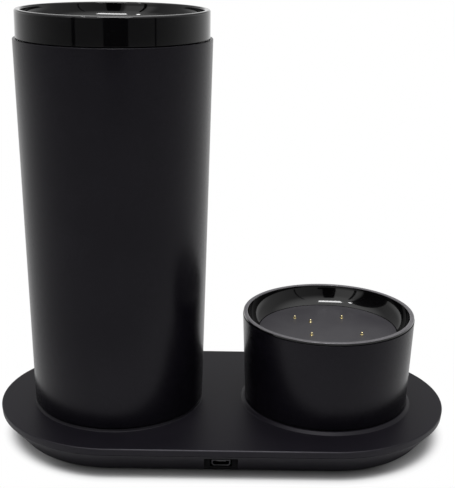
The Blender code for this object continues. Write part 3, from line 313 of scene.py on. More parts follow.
def top_edge_highlight(place):
    """One along the rounded upper edge of the dock, where a painted highlight runs, fading towards
    the ends.
    """
    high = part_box("dock_top_cover")[1]
    x, y, z = axes(place)
    outward = from_dock_line(x, y)[1] - (high.y - EDGE_HIGHLIGHT_WIDTH)
    upward = z - (high.z - PLATE_BELOW_COLLAR - EDGE_HIGHLIGHT_WIDTH)
    near = rise(outward, *EDGE_HIGHLIGHT_FADE) * rise(upward, *EDGE_HIGHLIGHT_FADE)
    near = near * rise(abs(x), *EDGE_HIGHLIGHT_ENDS, 1.0, 0.1)
    return near * rise(noise(place, 7 * MM, 3), 0.2, 0.6, 0.75, 1.0)


matte_lacquer("shell_lacquer", (0.0030, 0.0025, 0.0042, 1),
              (0.0042, 0.0036, 0.0056, 1), 0.27, 0.24)
# The dock's coating carries painted shade in its notch and a painted highlight along its upper
# edge.
matte_lacquer("dock_coating", (0.0054, 0.0046, 0.0072, 1),
              (0.0070, 0.0060, 0.0090, 1), 0.45, 0.26, notch_shade, top_edge_highlight)
print("finishes so far:", *FINISHES)

# %% [markdown]
# ## Gloss black plastic
#
# The lid and the bowl are polished. What is seen is nearly all reflection, so the colour is
# close to black and the roughness low, with hair scratches and a little dust that only show
# where light grazes. A thin clear coat gives the sharp layer over a softer body. The bowl's
# upper rim carries a painted highlight, a rougher satin grey band, and its floor is a plate
# with a spark eroded grain.

# %% Piano black of the lid and the bowl
# Grey, width and fade of a painted highlight on the bowl's upper rim.
RIM_HIGHLIGHT_GREY = (0.125, 0.120, 0.130, 1)
DUST_GREY = (0.05, 0.05, 0.052, 1)
RIM_HIGHLIGHT_BAND = 0.22 * MM
RIM_HIGHLIGHT_FADE = 0.08 * MM


def piano_black(name, body, rim=None):
    """Polished black plastic. From the rim's level up a painted highlight turns it satin grey."""
    shader, place = new_finish(name, IOR=1.49, Specular_IOR_Level=0.43,
                               Coat_Roughness=0.03, Coat_IOR=1.5)
    streaks = noise(spot(place, scale=(1, 1, 14)), 1.1 * MM, 4, 0.7)
    dust = rise(cells(place, 1.7 * MM), 0.05, 0.09, 1.0, 0.0)
    haze = noise(place, 9 * MM, 2)
    colour = mixed(dust * 0.35, body, DUST_GREY)
    rough = haze * 0.05 + rise(streaks, 0.60, 0.72) * 0.06 + dust * 0.12 + 0.035
    if rim:
        # Painted highlight: from the rim's level up the colour turns satin grey and the surface
        # rougher.
        rim_highlight = rise(axes(place)[2], rim - RIM_HIGHLIGHT_FADE, rim) * rise(haze, 0.2, 0.6, 0.75, 1)
        colour = mixed(rim_highlight, colour, RIM_HIGHLIGHT_GREY)
        rough = rough + rim_highlight * 0.2
    feed(shader, Base_Color=colour, Roughness=rough, Coat_Weight=0.10 - dust * 0.08,
         Normal=bump(haze, 0.02 * MM, 0.25))


piano_black("lid_gloss", (0.0022, 0.0021, 0.0024, 1))
# The bowl's gloss carries a painted highlight on its upper rim.
piano_black("bowl_gloss", (0.0026, 0.0025, 0.0028, 1), high_of("base_bowl") - RIM_HIGHLIGHT_BAND)
print("finishes so far:", *FINISHES)

# %% Satin floor of the bowl
shader, place = new_finish("bowl_floor", IOR=1.47, Specular_IOR_Level=0.5)
grain = noise(place, 0.22 * MM, 3, 0.65)
clouds = noise(place, 12 * MM, 2)
feed(shader, Base_Color=clouded(clouds, (0.034, 0.032, 0.038, 1), (0.042, 0.040, 0.046, 1)),
     Roughness=grain * 0.10 + clouds * 0.05 + 0.28, Normal=bump(grain, 0.012 * MM, 0.5))
print("finishes so far:", *FINISHES)

# %% [markdown]
# ## Plastics and rubber that show when the mug is lifted
#
# Parts that nobody polishes keep the texture of the mould. Voronoi cells under noise look
# like spark eroded steel, and rubber is the same with more roughness and less gloss.

# %% Moulded plastic, rubber and silicone
def moulded(name, dark, pale, roughness, grain_size, depth, gloss=0.5):
    shader, place = new_finish(name, IOR=1.46, Specular_IOR_Level=gloss)
    clouds = noise(place, grain_size * 40, 3)
    scuffs = rise(noise(spot(place, scale=(1, 7, 1)), 2.6 * MM, 4, 0.7), 0.62, 0.75)
    feed(shader, Base_Color=clouded(clouds, dark, pale),
         Roughness=clouds * 0.1 + (roughness - 0.05) - scuffs * 0.08,
         Normal=bump(cells(place, grain_size), depth, 0.5))


moulded("foot_plastic", (0.010, 0.010, 0.011, 1), (0.014, 0.014, 0.015, 1),
        0.55, 0.35 * MM, 0.03 * MM)
moulded("foot_rubber", (0.012, 0.012, 0.012, 1), (0.020, 0.020, 0.019, 1),
        0.85, 0.25 * MM, 0.02 * MM, 0.3)
moulded("silicone", (0.105, 0.105, 0.112, 1), (0.130, 0.130, 0.138, 1),
        0.60, 0.5 * MM, 0.01 * MM, 0.4)
moulded("grey_nylon", (0.13, 0.13, 0.14, 1), (0.17, 0.17, 0.18, 1),
        0.58, 0.3 * MM, 0.02 * MM)
moulded("lead_insulation", (0.30, 0.022, 0.022, 1), (0.38, 0.036, 0.033, 1),
        0.45, 0.4 * MM, 0.01 * MM)
print("finishes so far:", *FINISHES)

# %% [markdown]
# ## Metals
#
# A turned piece carries rings, because the tool or the brush went round its axis. The
# distance from that axis feeds a stretched noise, so the rings follow the piece. Drawn and
# plated metal has streaks or a fine blotchy brightness in their place.

# %% Turned, plated and drawn metal
def turned_metal(name, dark, pale, axis_x, ring_size, roughness):
    """Metal with rings about an upright axis, on flat faces and on walls alike."""
    shader, place = new_finish(name, Metallic=1.0)
    x, y, z = axes(spot(place, (axis_x, 0, 0)))
    reach = (length_of(x, y) * 2 + z) / ring_size
    rings = place.node("TexNoise", {"W": reach, "Scale": 1.0, "Detail": 3.0, "Roughness": 0.7},
                       noise_dimensions="1D")
    clouds = noise(place, 14 * MM, 2)
    feed(shader, Base_Color=clouded(rings * 0.6 + clouds * 0.4, dark, pale),
         Roughness=rings * 0.16 + clouds * 0.06 + (roughness - 0.11),
         Normal=bump(rings, 0.006 * MM, 0.5))


def plated_metal(name, dark, pale, grain_size, roughness, depth):
    """Plated or drawn metal with a fine blotchy grain."""
    shader, place = new_finish(name, Metallic=1.0)
    grain = noise(place, grain_size, 3, 0.6)
    clouds = noise(place, grain_size * 12, 2)
    feed(shader, Base_Color=clouded(clouds, dark, pale),
         Roughness=grain * 0.12 + clouds * 0.06 + (roughness - 0.09),
         Normal=bump(grain, depth, 0.4))


turned_metal("cup_steel", (0.50, 0.50, 0.49, 1), (0.62, 0.62, 0.60, 1),
             mug_x, 0.12 * MM, 0.30)
turned_metal("heater_aluminium", (0.60, 0.60, 0.62, 1), (0.70, 0.70, 0.72, 1),
             mug_x, 0.3 * MM, 0.38)
plated_metal("gold_contact", (0.88, 0.72, 0.36, 1), (0.98, 0.86, 0.52, 1),
             0.12 * MM, 0.18, 0.003 * MM)
plated_metal("screw_steel", (0.36, 0.36, 0.37, 1), (0.52, 0.52, 0.54, 1),
             0.15 * MM, 0.34, 0.008 * MM)
# The socket's steel is painted nearly black: painted shade of the dim recess it sits in.
plated_metal("socket_steel", (0.045, 0.045, 0.048, 1), (0.075, 0.075, 0.080, 1),
             0.20 * MM, 0.34, 0.006 * MM)
plated_metal("cell_wrap", (0.38, 0.41, 0.46, 1), (0.46, 0.49, 0.54, 1),
             1.4 * MM, 0.42, 0.08 * MM)
print("finishes so far:", *FINISHES)

# %% [markdown]
# ## Board, film and foam
#
# These stay inside, but the model can be taken apart, so each has its own look: copper
# tracks under green lacquer, a metal track wound through amber film, and foam cells.

# %% Board, film and foam
BLACK = (0, 0, 0, 1)
WHITE = (1, 1, 1, 1)
TRACK_PITCH = 2.4 * MM

shader, place = new_finish("circuit_board", IOR=1.5, Coat_Roughness=0.12)
tracks = place.node("TexBrick", {
    "Vector": place, "Scale": 1 / (6 * MM), "Mortar Size": 0.035, "Mortar Smooth": 0.1,
    "Color1": BLACK, "Color2": BLACK, "Mortar": WHITE})
lines = rise(tracks, 0.3, 0.6)
pads = rise(cells(place, 4.2 * MM), 0.13, 0.16, 1.0, 0.0)
green = mixed(lines, (0.012, 0.075, 0.032, 1), (0.030, 0.155, 0.060, 1))
feed(shader, Base_Color=mixed(pads, green, (0.62, 0.60, 0.56, 1)), Metallic=pads * 0.9,
     Roughness=0.42 - pads * 0.12 + noise(place, 0.4 * MM) * 0.08,
     Coat_Weight=0.6 - pads * 0.6, Normal=bump(lines + pads * 1.4, 0.035 * MM, 0.8))

# The film's track runs in rings, and a radial break folds it back.
shader, place = new_finish("heating_film", IOR=1.6, Coat_Roughness=0.1)
x, y = axes(spot(place, (mug_x, 0, 0)))[:2]
wave = x.math("SINE", length_of(x, y) * (math.tau / TRACK_PITCH))
track = rise(wave, -0.1, 0.1) * rise(abs(x), 0.5 * MM, 0.7 * MM)
feed(shader, Base_Color=mixed(track, (0.42, 0.17, 0.03, 1), (0.66, 0.60, 0.52, 1)),
     Metallic=track * 0.85, Roughness=0.34 - track * 0.06 + noise(place, 0.5 * MM) * 0.08,
     Coat_Weight=0.4 - track * 0.1, Normal=bump(track, 0.03 * MM, 0.7))

shader, place = new_finish("foam", Specular_IOR_Level=0.2)
bubbles = cells(place, 0.7 * MM)
clouds = noise(place, 8 * MM, 3)
shade = rise(bubbles * 0.6 + clouds * 0.4, 0.25, 0.7)
feed(shader, Base_Color=mixed(shade, (0.58, 0.58, 0.56, 1), (0.74, 0.74, 0.72, 1)),
     Roughness=0.82 + clouds * 0.16, Normal=bump(bubbles, 0.15 * MM, 0.7))
print("all finishes:", *FINISHES)

# %% [markdown]
# ## Turning a piece
#
# Most pieces here are turned. An outline of a few corners is drawn as a wire beside the
# axis, each corner is rounded by a vertex bevel, and the wire is spun. That gives even
# rings of faces, a true edge round that catches light, and a mesh that closes on itself.

# %% Draw and spin an outline
FINE_STEPS = 180
SMALL_STEPS = 28
PIN_STEPS = 24
MERGE = 0.002 * MM
WIDE_ROUND = 1.2 * MM
CRISP = 0.1 * MM
FINE = 0.15 * MM
BROKEN = 0.2 * MM
SOFT = 0.3 * MM
VERT = bmesh.types.BMVert
EDGE = bmesh.types.BMEdge
FACE = bmesh.types.BMFace


def only(geom, *kinds):
    return [item for item in geom if isinstance(item, kinds)]


def bevel(bm, geom, offset, segments, affect="EDGES", clamp=False):
    """Rounds edges or corners with the settings that all roundings here share."""
    bmesh.ops.bevel(bm, geom=geom, offset=offset, offset_type="OFFSET", segments=segments,
                    profile=0.5, affect=affect, clamp_overlap=clamp, material=-1)


def draw_wire(bm, corners, x, y=0.0, heading=(1, 0), closed=False):
    """A wire of (radius, height) or (radius, height, rounding) corners beside an axis."""
    old = set(bm.verts)
    verts = [bm.verts.new((x + corner[0] * heading[0], y + corner[0] * heading[1], corner[1]))
             for corner in corners]
    for pair in zip(verts, verts[1:] + verts[:closed]):
        bm.edges.new(pair)
    for vert, corner in zip(verts, corners):
        if len(corner) > 2:
            bevel(bm, [vert], corner[2], 4 if corner[2] < WIDE_ROUND else 12, "VERTICES")
    new = [vert for vert in bm.verts if vert not in old]
    return new + list(dict.fromkeys(edge for vert in new for edge in vert.link_edges))


def turn(bm, corners, x, y=0.0, steps=FINE_STEPS, closed=False):
    """Spins an outline all the way round an upright axis, and adds it to a bmesh."""
    part = bmesh.new()
    wire = draw_wire(part, corners, x, y, closed=closed)
    bmesh.ops.spin(part, geom=wire, cent=(x, y, 0), axis=(0, 0, 1), angle=math.tau,
                   steps=steps, use_merge=True)
    bmesh.ops.remove_doubles(part, verts=part.verts, dist=MERGE)
    mesh = bpy.data.meshes.new("part")
    part.to_mesh(mesh)
    part.free()
    bm.from_mesh(mesh)
    bpy.data.meshes.remove(mesh)


def turn_at(bm, kind, count, corners):
    """The same outline turned about each of the numbered nodes of a kind."""
    for number in range(1, count + 1):
        turn(bm, corners, *centre_of(f"{kind}_{number}"), SMALL_STEPS)


def arc(centre, radius, start, end, steps):
    """Corners along a round stretch, from one angle to another, in degrees."""
    angles = [math.radians(start + (end - start) * step / steps) for step in range(steps + 1)]
    return [(centre[0] + radius * math.cos(a), centre[1] + radius * math.sin(a)) for a in angles]


# %% Close a flat level between its rims
LEVEL_TOLERANCE = 0.001 * MM
STRIP = 0.6 * MM
THIN_STRIP = 0.5 * MM


def close_level(bm, height, x=0.0, within=math.inf):
    """Fills the flat face between all open rims at a height, and leaves their holes open."""
    rims = [edge for edge in bm.edges if len(edge.link_faces) < 2
            and all(abs(v.co.z - height) < LEVEL_TOLERANCE
                    and math.hypot(v.co.x - x, v.co.y) < within for v in edge.verts)]
    bmesh.ops.triangle_fill(bm, use_beauty=True, use_dissolve=False, edges=rims,
                            normal=(0, 0, 1))


# %% Finish a piece
SHARP_DEGREES = 38
pieces = []


def bmesh_object(name, bm):
    """An object in the scene from a bmesh, which is freed."""
    mesh = bpy.data.meshes.new(name)
    bm.to_mesh(mesh)
    bm.free()
    return add_object(name, mesh)


def add_piece(name, bm, finish, body, *nodes, levels=(), slot=None):
    """Closes levels, makes the object, shades it, and puts it in its nodes' place.

    The slot argument is worked out, but nothing uses it."""
    for level in levels:
        close_level(bm, level)
    bmesh.ops.remove_doubles(bm, verts=bm.verts, dist=MERGE)
    bare = [edge for edge in bm.edges if not edge.link_faces]
    bmesh.ops.delete(bm, geom=bare, context="EDGES")
    bmesh.ops.recalc_face_normals(bm, faces=bm.faces)
    loose = sum(1 for edge in bm.edges if len(edge.link_faces) != 2)
    print(f"{name}: {len(bm.faces)} faces, {loose} open edges")
    piece = bmesh_object(name, bm)
    piece.data.shade_smooth()
    piece.data.set_sharp_from_angle(angle=math.radians(SHARP_DEGREES))
    piece.data.materials.append(FINISHES[finish])
    even = piece.modifiers.new("even_shading", "WEIGHTED_NORMAL")
    even.mode = "FACE_AREA_WITH_ANGLE"
    even.keep_sharp = True
    slot = slot or finish
    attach(piece, body)
    if nodes:
        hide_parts(*nodes)
    pieces.append(piece)


def turned_piece(name, corners, x, finish, body, node, y=0.0, steps=FINE_STEPS, closed=True,
                 slot=None):
    """A piece that a single outline gives."""
    bm = bmesh.new()
    turn(bm, corners, x, y, steps, closed)
    add_piece(name, bm, finish, body, node, slot=slot)


# %% [markdown]
# ## The mug's body
#
# The shell is one drawn tube that widens evenly to the top. Its two edges are rounded by
# hardly more than half a millimetre, which is what draws the fine line of light at the
# foot. The ledge near the top carries the seal and the steel cup, as in the solid.

# %% Outer shell
MUG_FLARE = 3.5 * MM
MUG_WALL = 1.5 * MM
EDGE_ROUND = 0.6 * MM
FOOT_FLANGE = 1.5 * MM
LEDGE_DROP = 3.2 * MM
LEDGE_HEIGHT = 3.0 * MM
LEDGE_BORE_SHORT = 3.0 * MM
LEDGE_SLOPE_IN = 0.12 * MM
CAP_OVERLAP = 1.0 * MM

mug_radius, mug_bottom, mug_top = extent_of("mug_outer_shell")
mug_foot_radius = mug_radius - MUG_FLARE
shell_bore = radius_of("mug_foot_cap") - CAP_OVERLAP
ledge_top = mug_top - LEDGE_DROP
ledge_bottom = ledge_top - LEDGE_HEIGHT

turned_piece("mug_body", [
    (shell_bore, mug_bottom, BROKEN),
    (mug_foot_radius, mug_bottom, EDGE_ROUND),
    (mug_radius, mug_top, EDGE_ROUND / 2),
    (mug_radius - MUG_WALL, mug_top, SOFT),
    (mug_radius - MUG_WALL, ledge_top),
    (mug_radius - LEDGE_BORE_SHORT, ledge_top, BROKEN),
    (mug_radius - LEDGE_BORE_SHORT, ledge_bottom, BROKEN),
    (mug_radius - MUG_WALL - LEDGE_SLOPE_IN, ledge_bottom - LEDGE_HEIGHT, EDGE_ROUND),
    (mug_foot_radius - MUG_WALL, mug_bottom + FOOT_FLANGE, EDGE_ROUND),
    (shell_bore, mug_bottom + FOOT_FLANGE, BROKEN),
], mug_x, "shell_lacquer", "mug", "mug_outer_shell", slot="mug_shell")

# %% [markdown]
# ## The steel cup and its seal
#
# The cup is spun from thin sheet, so its two skins run side by side all the way: down the
# wall, round the bottom corner and across. The rim is a flat flange that rests on the seal.

# %% Cup and seal
CUP_WALL = 0.8 * MM
CUP_CORNER = 8.0 * MM
CUP_FLANGE = 0.8 * MM
CUP_TAPER = 2.9 * MM
CUP_INSET = 3.7 * MM

flange_radius, cup_bottom, cup_top = extent_of("mug_inner_cup")
cup_rim_radius = mug_radius - CUP_INSET
cup_foot_radius = cup_rim_radius - CUP_TAPER


def build_ring(name, node, width, rounding, finish, body, x):
    """A plain ring with rounded edges, as wide inwards from its node's rim as is said."""
    outer, low, high = extent_of(node)
    turned_piece(name, [(outer - width, low, rounding), (outer, low, rounding),
                        (outer, high, rounding), (outer - width, high, rounding)],
                 x, finish, body, node)


turned_piece("steel_cup", [
    (0, cup_bottom),
    (cup_foot_radius, cup_bottom, CUP_CORNER),
    (cup_rim_radius, cup_top - CUP_FLANGE, SOFT),
    (flange_radius, cup_top - CUP_FLANGE, BROKEN),
    (flange_radius, cup_top, BROKEN),
    (cup_rim_radius - CUP_WALL, cup_top, EDGE_ROUND),
    (cup_foot_radius - CUP_WALL, cup_bottom + CUP_WALL, CUP_CORNER - CUP_WALL),
    (0, cup_bottom + CUP_WALL),
], mug_x, "cup_steel", "mug", "mug_inner_cup", closed=False)
build_ring("rim_seal", "cup_rim_seal", flange_radius - cup_rim_radius - GAP, 0.25 * MM,
           "silicone", "mug", mug_x)

# %% [markdown]
# ## The lid
#
# A polished band stands round a deep dish. The dish's wall is a quarter arc that runs out
# on the floor, and it mirrors the room as a bright ring, so it gets a true arc. The floor
# is filled between its rims: the sip opening, the slider's slot and the vent stay open.

# %% Openings with a softened rim
def lies_on(point, low, high, height, spare=0.0):
    """Whether a point is at a height and inside a rectangle, widened by the spare."""
    return (abs(point.z - height) < LEVEL_TOLERANCE
            and low[0] - spare < point.x < high[0] + spare
            and low[1] - spare < point.y < high[1] + spare)


def around(x, y, wide, deep):
    """The low and the high corner of a rectangle about a point."""
    return (x - wide / 2, y - deep / 2), (x + wide / 2, y + deep / 2)


def rounded_face(bm, low, high, height, rounding):
    """A flat rectangle with rounded corners."""
    outline = [(low[0], low[1]), (high[0], low[1]), (high[0], high[1]), (low[0], high[1])]
    face = bm.faces.new([bm.verts.new((x, y, height)) for x, y in outline])
    bevel(bm, list(face.verts), rounding, 6, "VERTICES")
    return next(f for f in bm.faces
                if len(f.verts) > 4 and lies_on(f.calc_center_median(), low, high, height))


def draw_faces(bm, faces, way):
    """Draws faces out by a vector, and returns those at its end."""
    geom = bmesh.ops.extrude_face_region(bm, geom=faces)["geom"]
    bmesh.ops.translate(bm, verts=only(geom, VERT), vec=way)
    return only(geom, FACE)


def drop_faces(bm, faces):
    bmesh.ops.delete(bm, geom=[f for f in faces if f.is_valid], context="FACES_ONLY")


def sink_opening(bm, low, high, top, bottom, corner, soften):
    """An opening from a flat face down to another, with a rounded upper rim."""
    wide_low = (low[0] - 2 * soften, low[1] - 2 * soften)
    wide_high = (high[0] + 2 * soften, high[1] + 2 * soften)
    face = rounded_face(bm, wide_low, wide_high, top, corner + 2 * soften)
    bmesh.ops.inset_region(bm, faces=[face], thickness=2 * soften, use_even_offset=True)
    cap = draw_faces(bm, [face], (0, 0, bottom - top))
    drop_faces(bm, [face])
    rim = [edge for edge in bm.edges if len(edge.link_faces) == 2
           and abs(edge.calc_face_angle(0) - math.pi / 2) < 0.2
           and all(lies_on(v.co, low, high, top, soften) for v in edge.verts)]
    bevel(bm, rim, soften, 3)
    drop_faces(bm, cap)


def drill(bm, radius, top, bottom, x, y, soften):
    """A round hole between two levels, with softened rims that the levels close up to."""
    turn(bm, [(radius + 2 * soften, top), (radius, top, soften),
              (radius, bottom, soften), (radius + 2 * soften, bottom)], x, y, SMALL_STEPS)


# %% Lid shell
LID_RIM_WIDTH = 2.4 * MM
LID_RIM_ROUND = 0.8 * MM
LID_FOOT_STRIP = 1.6 * MM
LID_FOOT_ROUND = 0.25 * MM
SIP_LENGTH = 14.0 * MM
SIP_WIDTH = 5.0 * MM
SIP_CORNER = 1.7 * MM
SLIDER_MARGIN = 1.0 * MM
STEM_SETBACK = 12.0 * MM
STEM_WIDTH = 3.6 * MM
STEM_LENGTH = 4.0 * MM
VENT_RADIUS = 1.1 * MM
VENT_INSET = 2.2 * MM

lid_radius, lid_bottom, lid_top = extent_of("lid_shell")
dish_floor = low_of("slider_pad") - GAP
dish_arc = lid_top - LID_RIM_ROUND - dish_floor
dish_rim_radius = lid_radius - LID_RIM_WIDTH
dish_floor_radius = dish_rim_radius - dish_arc
slider_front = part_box("lid_slider")[0].y
slider_travel = SIP_WIDTH + 2 * SLIDER_MARGIN
sip_back = slider_front - SLIDER_MARGIN
stem_y = slider_front + STEM_SETBACK

bm = bmesh.new()
dish = arc((dish_floor_radius, dish_floor + dish_arc), dish_arc, 0, -90, 16)
turn(bm, [
    (lid_radius - LID_FOOT_STRIP, lid_bottom),
    (lid_radius, lid_bottom, LID_FOOT_ROUND),
    (lid_radius, lid_top, LID_RIM_ROUND),
    (dish_rim_radius, lid_top, LID_RIM_ROUND * 0.9),
    *dish[1:],
    (dish_floor_radius - STRIP, dish_floor),
], mug_x)
sink_opening(bm, *around(mug_x, sip_back - SIP_WIDTH / 2, SIP_LENGTH, SIP_WIDTH),
             dish_floor, lid_bottom, SIP_CORNER, SOFT)
sink_opening(bm, *around(mug_x, stem_y - slider_travel / 2, STEM_WIDTH + 2 * GAP,
                         STEM_LENGTH + 2 * GAP + slider_travel),
             dish_floor, lid_bottom, SOFT, FINE)
drill(bm, VENT_RADIUS, dish_floor, lid_bottom, mug_x, dish_floor_radius - VENT_INSET, FINE)
add_piece("lid_dish", bm, "lid_gloss", "lid", "lid_shell", levels=(dish_floor, lid_bottom))

# %% [markdown]
# ## The slider
#
# The tab, its grip and the stem that runs through the slot are one moulding. A rounded
# block is cut across by planes, the faces in the middle are drawn up or down, and a bevel
# then softens every edge at once. Two clips under the lid hold the stem in its slot.

# %% Blocks
HARD_ANGLE = math.radians(50)


def slab(bm, low, high, upright_round=0.0, segments=6):
    """A block whose upright edges can be rounded."""
    verts = bmesh.ops.create_cube(bm, size=1.0)["verts"]
    size = [h - l for l, h in zip(low, high)]
    bmesh.ops.scale(bm, vec=size, verts=verts)
    bmesh.ops.translate(bm, vec=[(h + l) / 2 for l, h in zip(low, high)], verts=verts)
    if upright_round:
        upright = [e for e in bm.edges if e.verts[0] in verts
                   and abs(e.verts[0].co.z - e.verts[1].co.z) > size[2] / 2]
        bevel(bm, upright, upright_round, segments)


def draw_out(bm, low, high, start, end):
    """Draws the part of a flat face that lies inside a rectangle up or down."""
    for where, normal in ((low, (1, 0, 0)), (high, (1, 0, 0)), (low, (0, 1, 0)), (high, (0, 1, 0))):
        bmesh.ops.bisect_plane(bm, geom=bm.verts[:] + bm.edges[:] + bm.faces[:],
                               plane_co=(*where, start), plane_no=normal)
    inside = [f for f in bm.faces if lies_on(f.calc_center_median(), low, high, start)]
    draw_faces(bm, inside, (0, 0, end - start))
    drop_faces(bm, inside)


def soften(bm, offset, segments=3):
    """Merges level faces, then rounds every hard edge."""
    bmesh.ops.dissolve_limit(bm, angle_limit=math.radians(1), verts=bm.verts, edges=bm.edges)
    hard = [e for e in bm.edges if len(e.link_faces) == 2 and e.calc_face_angle(0) > HARD_ANGLE]
    bevel(bm, hard, offset, segments, clamp=True)


# %% Tab, retainer and pad
SLIDER_THICKNESS = 1.6 * MM
SLIDER_EDGE = 0.35 * MM
GRIP_WIDTH = 10.0 * MM
GRIP_LENGTH = 2.2 * MM
RETAINER_WIDTH = 8.0 * MM
RETAINER_THICKNESS = 1.2 * MM
RETAINER_PLAY = 0.02 * MM
PAD_CORNER = 1.2 * MM

low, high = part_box("lid_slider")
tab_low = high_of("slider_pad") + GAP
tab_high = tab_low + SLIDER_THICKNESS
bm = bmesh.new()
slab(bm, (low.x, low.y, tab_low), (high.x, high.y, tab_high), SLIDER_THICKNESS * 2)
draw_out(bm, *around(mug_x, stem_y, GRIP_WIDTH, GRIP_LENGTH), tab_high, high.z)
draw_out(bm, *around(mug_x, stem_y, STEM_WIDTH, STEM_LENGTH), tab_low, low.z)
soften(bm, SLIDER_EDGE)
add_piece("slider_tab", bm, "lid_gloss", "slider", "lid_slider")

retainer_top = lid_bottom - GAP
half_length = STEM_LENGTH / 2
bm = bmesh.new()
for side in (-1, 1):
    inner = mug_x + side * (STEM_WIDTH / 2 + RETAINER_PLAY)
    outer = mug_x + side * RETAINER_WIDTH / 2
    slab(bm, (min(inner, outer), stem_y - half_length, retainer_top - RETAINER_THICKNESS),
         (max(inner, outer), stem_y + half_length, retainer_top), SOFT, 3)
add_piece("slider_retainer", bm, "lid_gloss", "slider")

bm = bmesh.new()
slab(bm, *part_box("slider_pad"), PAD_CORNER)
soften(bm, BROKEN, 2)
add_piece("slider_seal", bm, "silicone", "slider", "slider_pad")

# %% [markdown]
# ## The plug and its lip seal
#
# Under the lid a plug reaches into the cup. Its groove holds a silicone ring, whose lip
# bulges in a soft curve to where it meets the steel.

# %% Plug and lip seal
PLUG_WALL = 3.0 * MM
PLUG_NOSE_ROUND = 0.8 * MM
GROOVE_DROP = 5.0 * MM
GROOVE_HEIGHT = 3.0 * MM
GROOVE_DEPTH = 1.4 * MM
LIP_REACH = 0.6 * MM
LIP_EDGE = 0.4 * MM
LIP_NOSE = 0.5 * MM

plug_radius, low, high = extent_of("lid_plug")
groove_top = high - GROOVE_DROP
groove_low = groove_top - GROOVE_HEIGHT
turned_piece("plug", [
    (plug_radius - PLUG_WALL, low, PLUG_NOSE_ROUND),
    (plug_radius, low, PLUG_NOSE_ROUND),
    (plug_radius, groove_low, BROKEN),
    (plug_radius - GROOVE_DEPTH, groove_low, BROKEN),
    (plug_radius - GROOVE_DEPTH, groove_top, BROKEN),
    (plug_radius, groove_top, BROKEN),
    (plug_radius, high, SOFT),
    (plug_radius - PLUG_WALL, high, SOFT),
], mug_x, "foot_plastic", "lid", "lid_plug")

outer, low, high = extent_of("lid_seal")
root = plug_radius - GROOVE_DEPTH + GAP
turned_piece("lip_seal", [
    (root, low, BROKEN),
    (outer - LIP_REACH, low, LIP_EDGE),
    (outer, (low + high) / 2, LIP_NOSE),
    (outer - LIP_REACH, high, LIP_EDGE),
    (root, high, BROKEN),
], mug_x, "silicone", "lid", "lid_seal")

# %% [markdown]
# ## A screw with a cross recess
#
# The ten screws come in three sets. One of each set is modelled: a turned head and shank
# with thread rings, and a cross that Booleans cut into the head. Its mesh is then copied to
# each place, because each copy has to be an object of its own.

# %% Cut one shape out of another
def carved(bm, *tools):
    """A bmesh with others cut out of it or joined on: each tool is a bmesh and an operation."""
    bmesh.ops.recalc_face_normals(bm, faces=bm.faces)
    target = bmesh_object("carving", bm)
    made = [target]
    for tool_bm, operation in tools:
        bmesh.ops.recalc_face_normals(tool_bm, faces=tool_bm.faces)
        tool = bmesh_object("tool", tool_bm)
        step = target.modifiers.new(operation, "BOOLEAN")
        step.operation, step.solver, step.object = operation, "EXACT", tool
        made.append(tool)
    bpy.context.view_layer.update()
    shape = target.evaluated_get(bpy.context.evaluated_depsgraph_get())
    result = bmesh.new()
    result.from_mesh(shape.to_mesh())
    shape.to_mesh_clear()
    for obj in made:
        mesh = obj.data
        bpy.data.objects.remove(obj)
        bpy.data.meshes.remove(mesh)
    return result


# %% Model one screw of a set and copy it
HEAD_RADIUS = 2.2 * MM
HEAD_HEIGHT = 1.4 * MM
HEAD_CORNER = 0.4 * MM
SHANK_RADIUS = 1.0 * MM
BORE = SHANK_RADIUS + GAP
THREAD_START = 0.6 * MM
THREAD_STOP = 1.6 * MM
THREAD_PITCH = 0.7 * MM
CROSS_LENGTH = 2.6 * MM
CROSS_WIDTH = 0.55 * MM
CROSS_DEPTH = 0.8 * MM
SCREW_STEPS = 32


def screw_bmesh(length):
    """A screw that points up, its head's lowest point at the origin."""
    thread = []
    height = HEAD_HEIGHT + THREAD_START
    while height < length - THREAD_STOP:
        thread += [(SHANK_RADIUS * 0.8, height), (SHANK_RADIUS, height + THREAD_PITCH / 2)]
        height += THREAD_PITCH
    bm = bmesh.new()
    turn(bm, [(0, 0), (HEAD_RADIUS * 0.55, 0, HEAD_CORNER), (HEAD_RADIUS, HEAD_HEIGHT * 0.6, SOFT),
              (HEAD_RADIUS, HEAD_HEIGHT, CRISP), (SHANK_RADIUS * 0.8, HEAD_HEIGHT), *thread,
              (SHANK_RADIUS * 0.7, height), (0, length)], 0, steps=SCREW_STEPS)
    cuts = []
    for wide, deep in ((CROSS_LENGTH, CROSS_WIDTH), (CROSS_WIDTH, CROSS_LENGTH)):
        cut = bmesh.new()
        slab(cut, (-wide / 2, -deep / 2, -1 * MM), (wide / 2, deep / 2, CROSS_DEPTH))
        cuts.append((cut, "DIFFERENCE"))
    return carved(bm, *cuts)


for kind, count, body in (("dock_screw", 4, "dock"), ("mug_foot_screw", 3, "mug"),
                          ("base_foot_screw", 3, "battery_base")):
    low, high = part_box(f"{kind}_1")
    pattern = screw_bmesh(high.z - low.z)
    for number in range(1, count + 1):
        node = f"{kind}_{number}"
        bm = pattern.copy()
        bmesh.ops.translate(bm, verts=bm.verts, vec=(*centre_of(node), low.z))
        add_piece(node.replace("screw", "cross_screw"), bm, "screw_steel", body, node)
    pattern.free()

# %% [markdown]
# ## Foot caps and contact rings
#
# The mug and the battery base stand on the same foot: a rounded cup shape that fits a
# station, with three gold rings in its grooves and three screws. Its skin is turned in
# stretches that end on flat levels, and those levels are then filled round the holes.

# %% The bowl's side, which the foot follows
BOWL_FLARE = 4.7 * MM
BOWL_DEPTH = 8.1 * MM
BOWL_TURN = 50.0

bowl_floor_radius = radius_of("bowl_floor_plate") + GAP
bowl_rim_radius = bowl_floor_radius + BOWL_FLARE
station_floor = high_of("dock_top_cover") - BOWL_DEPTH


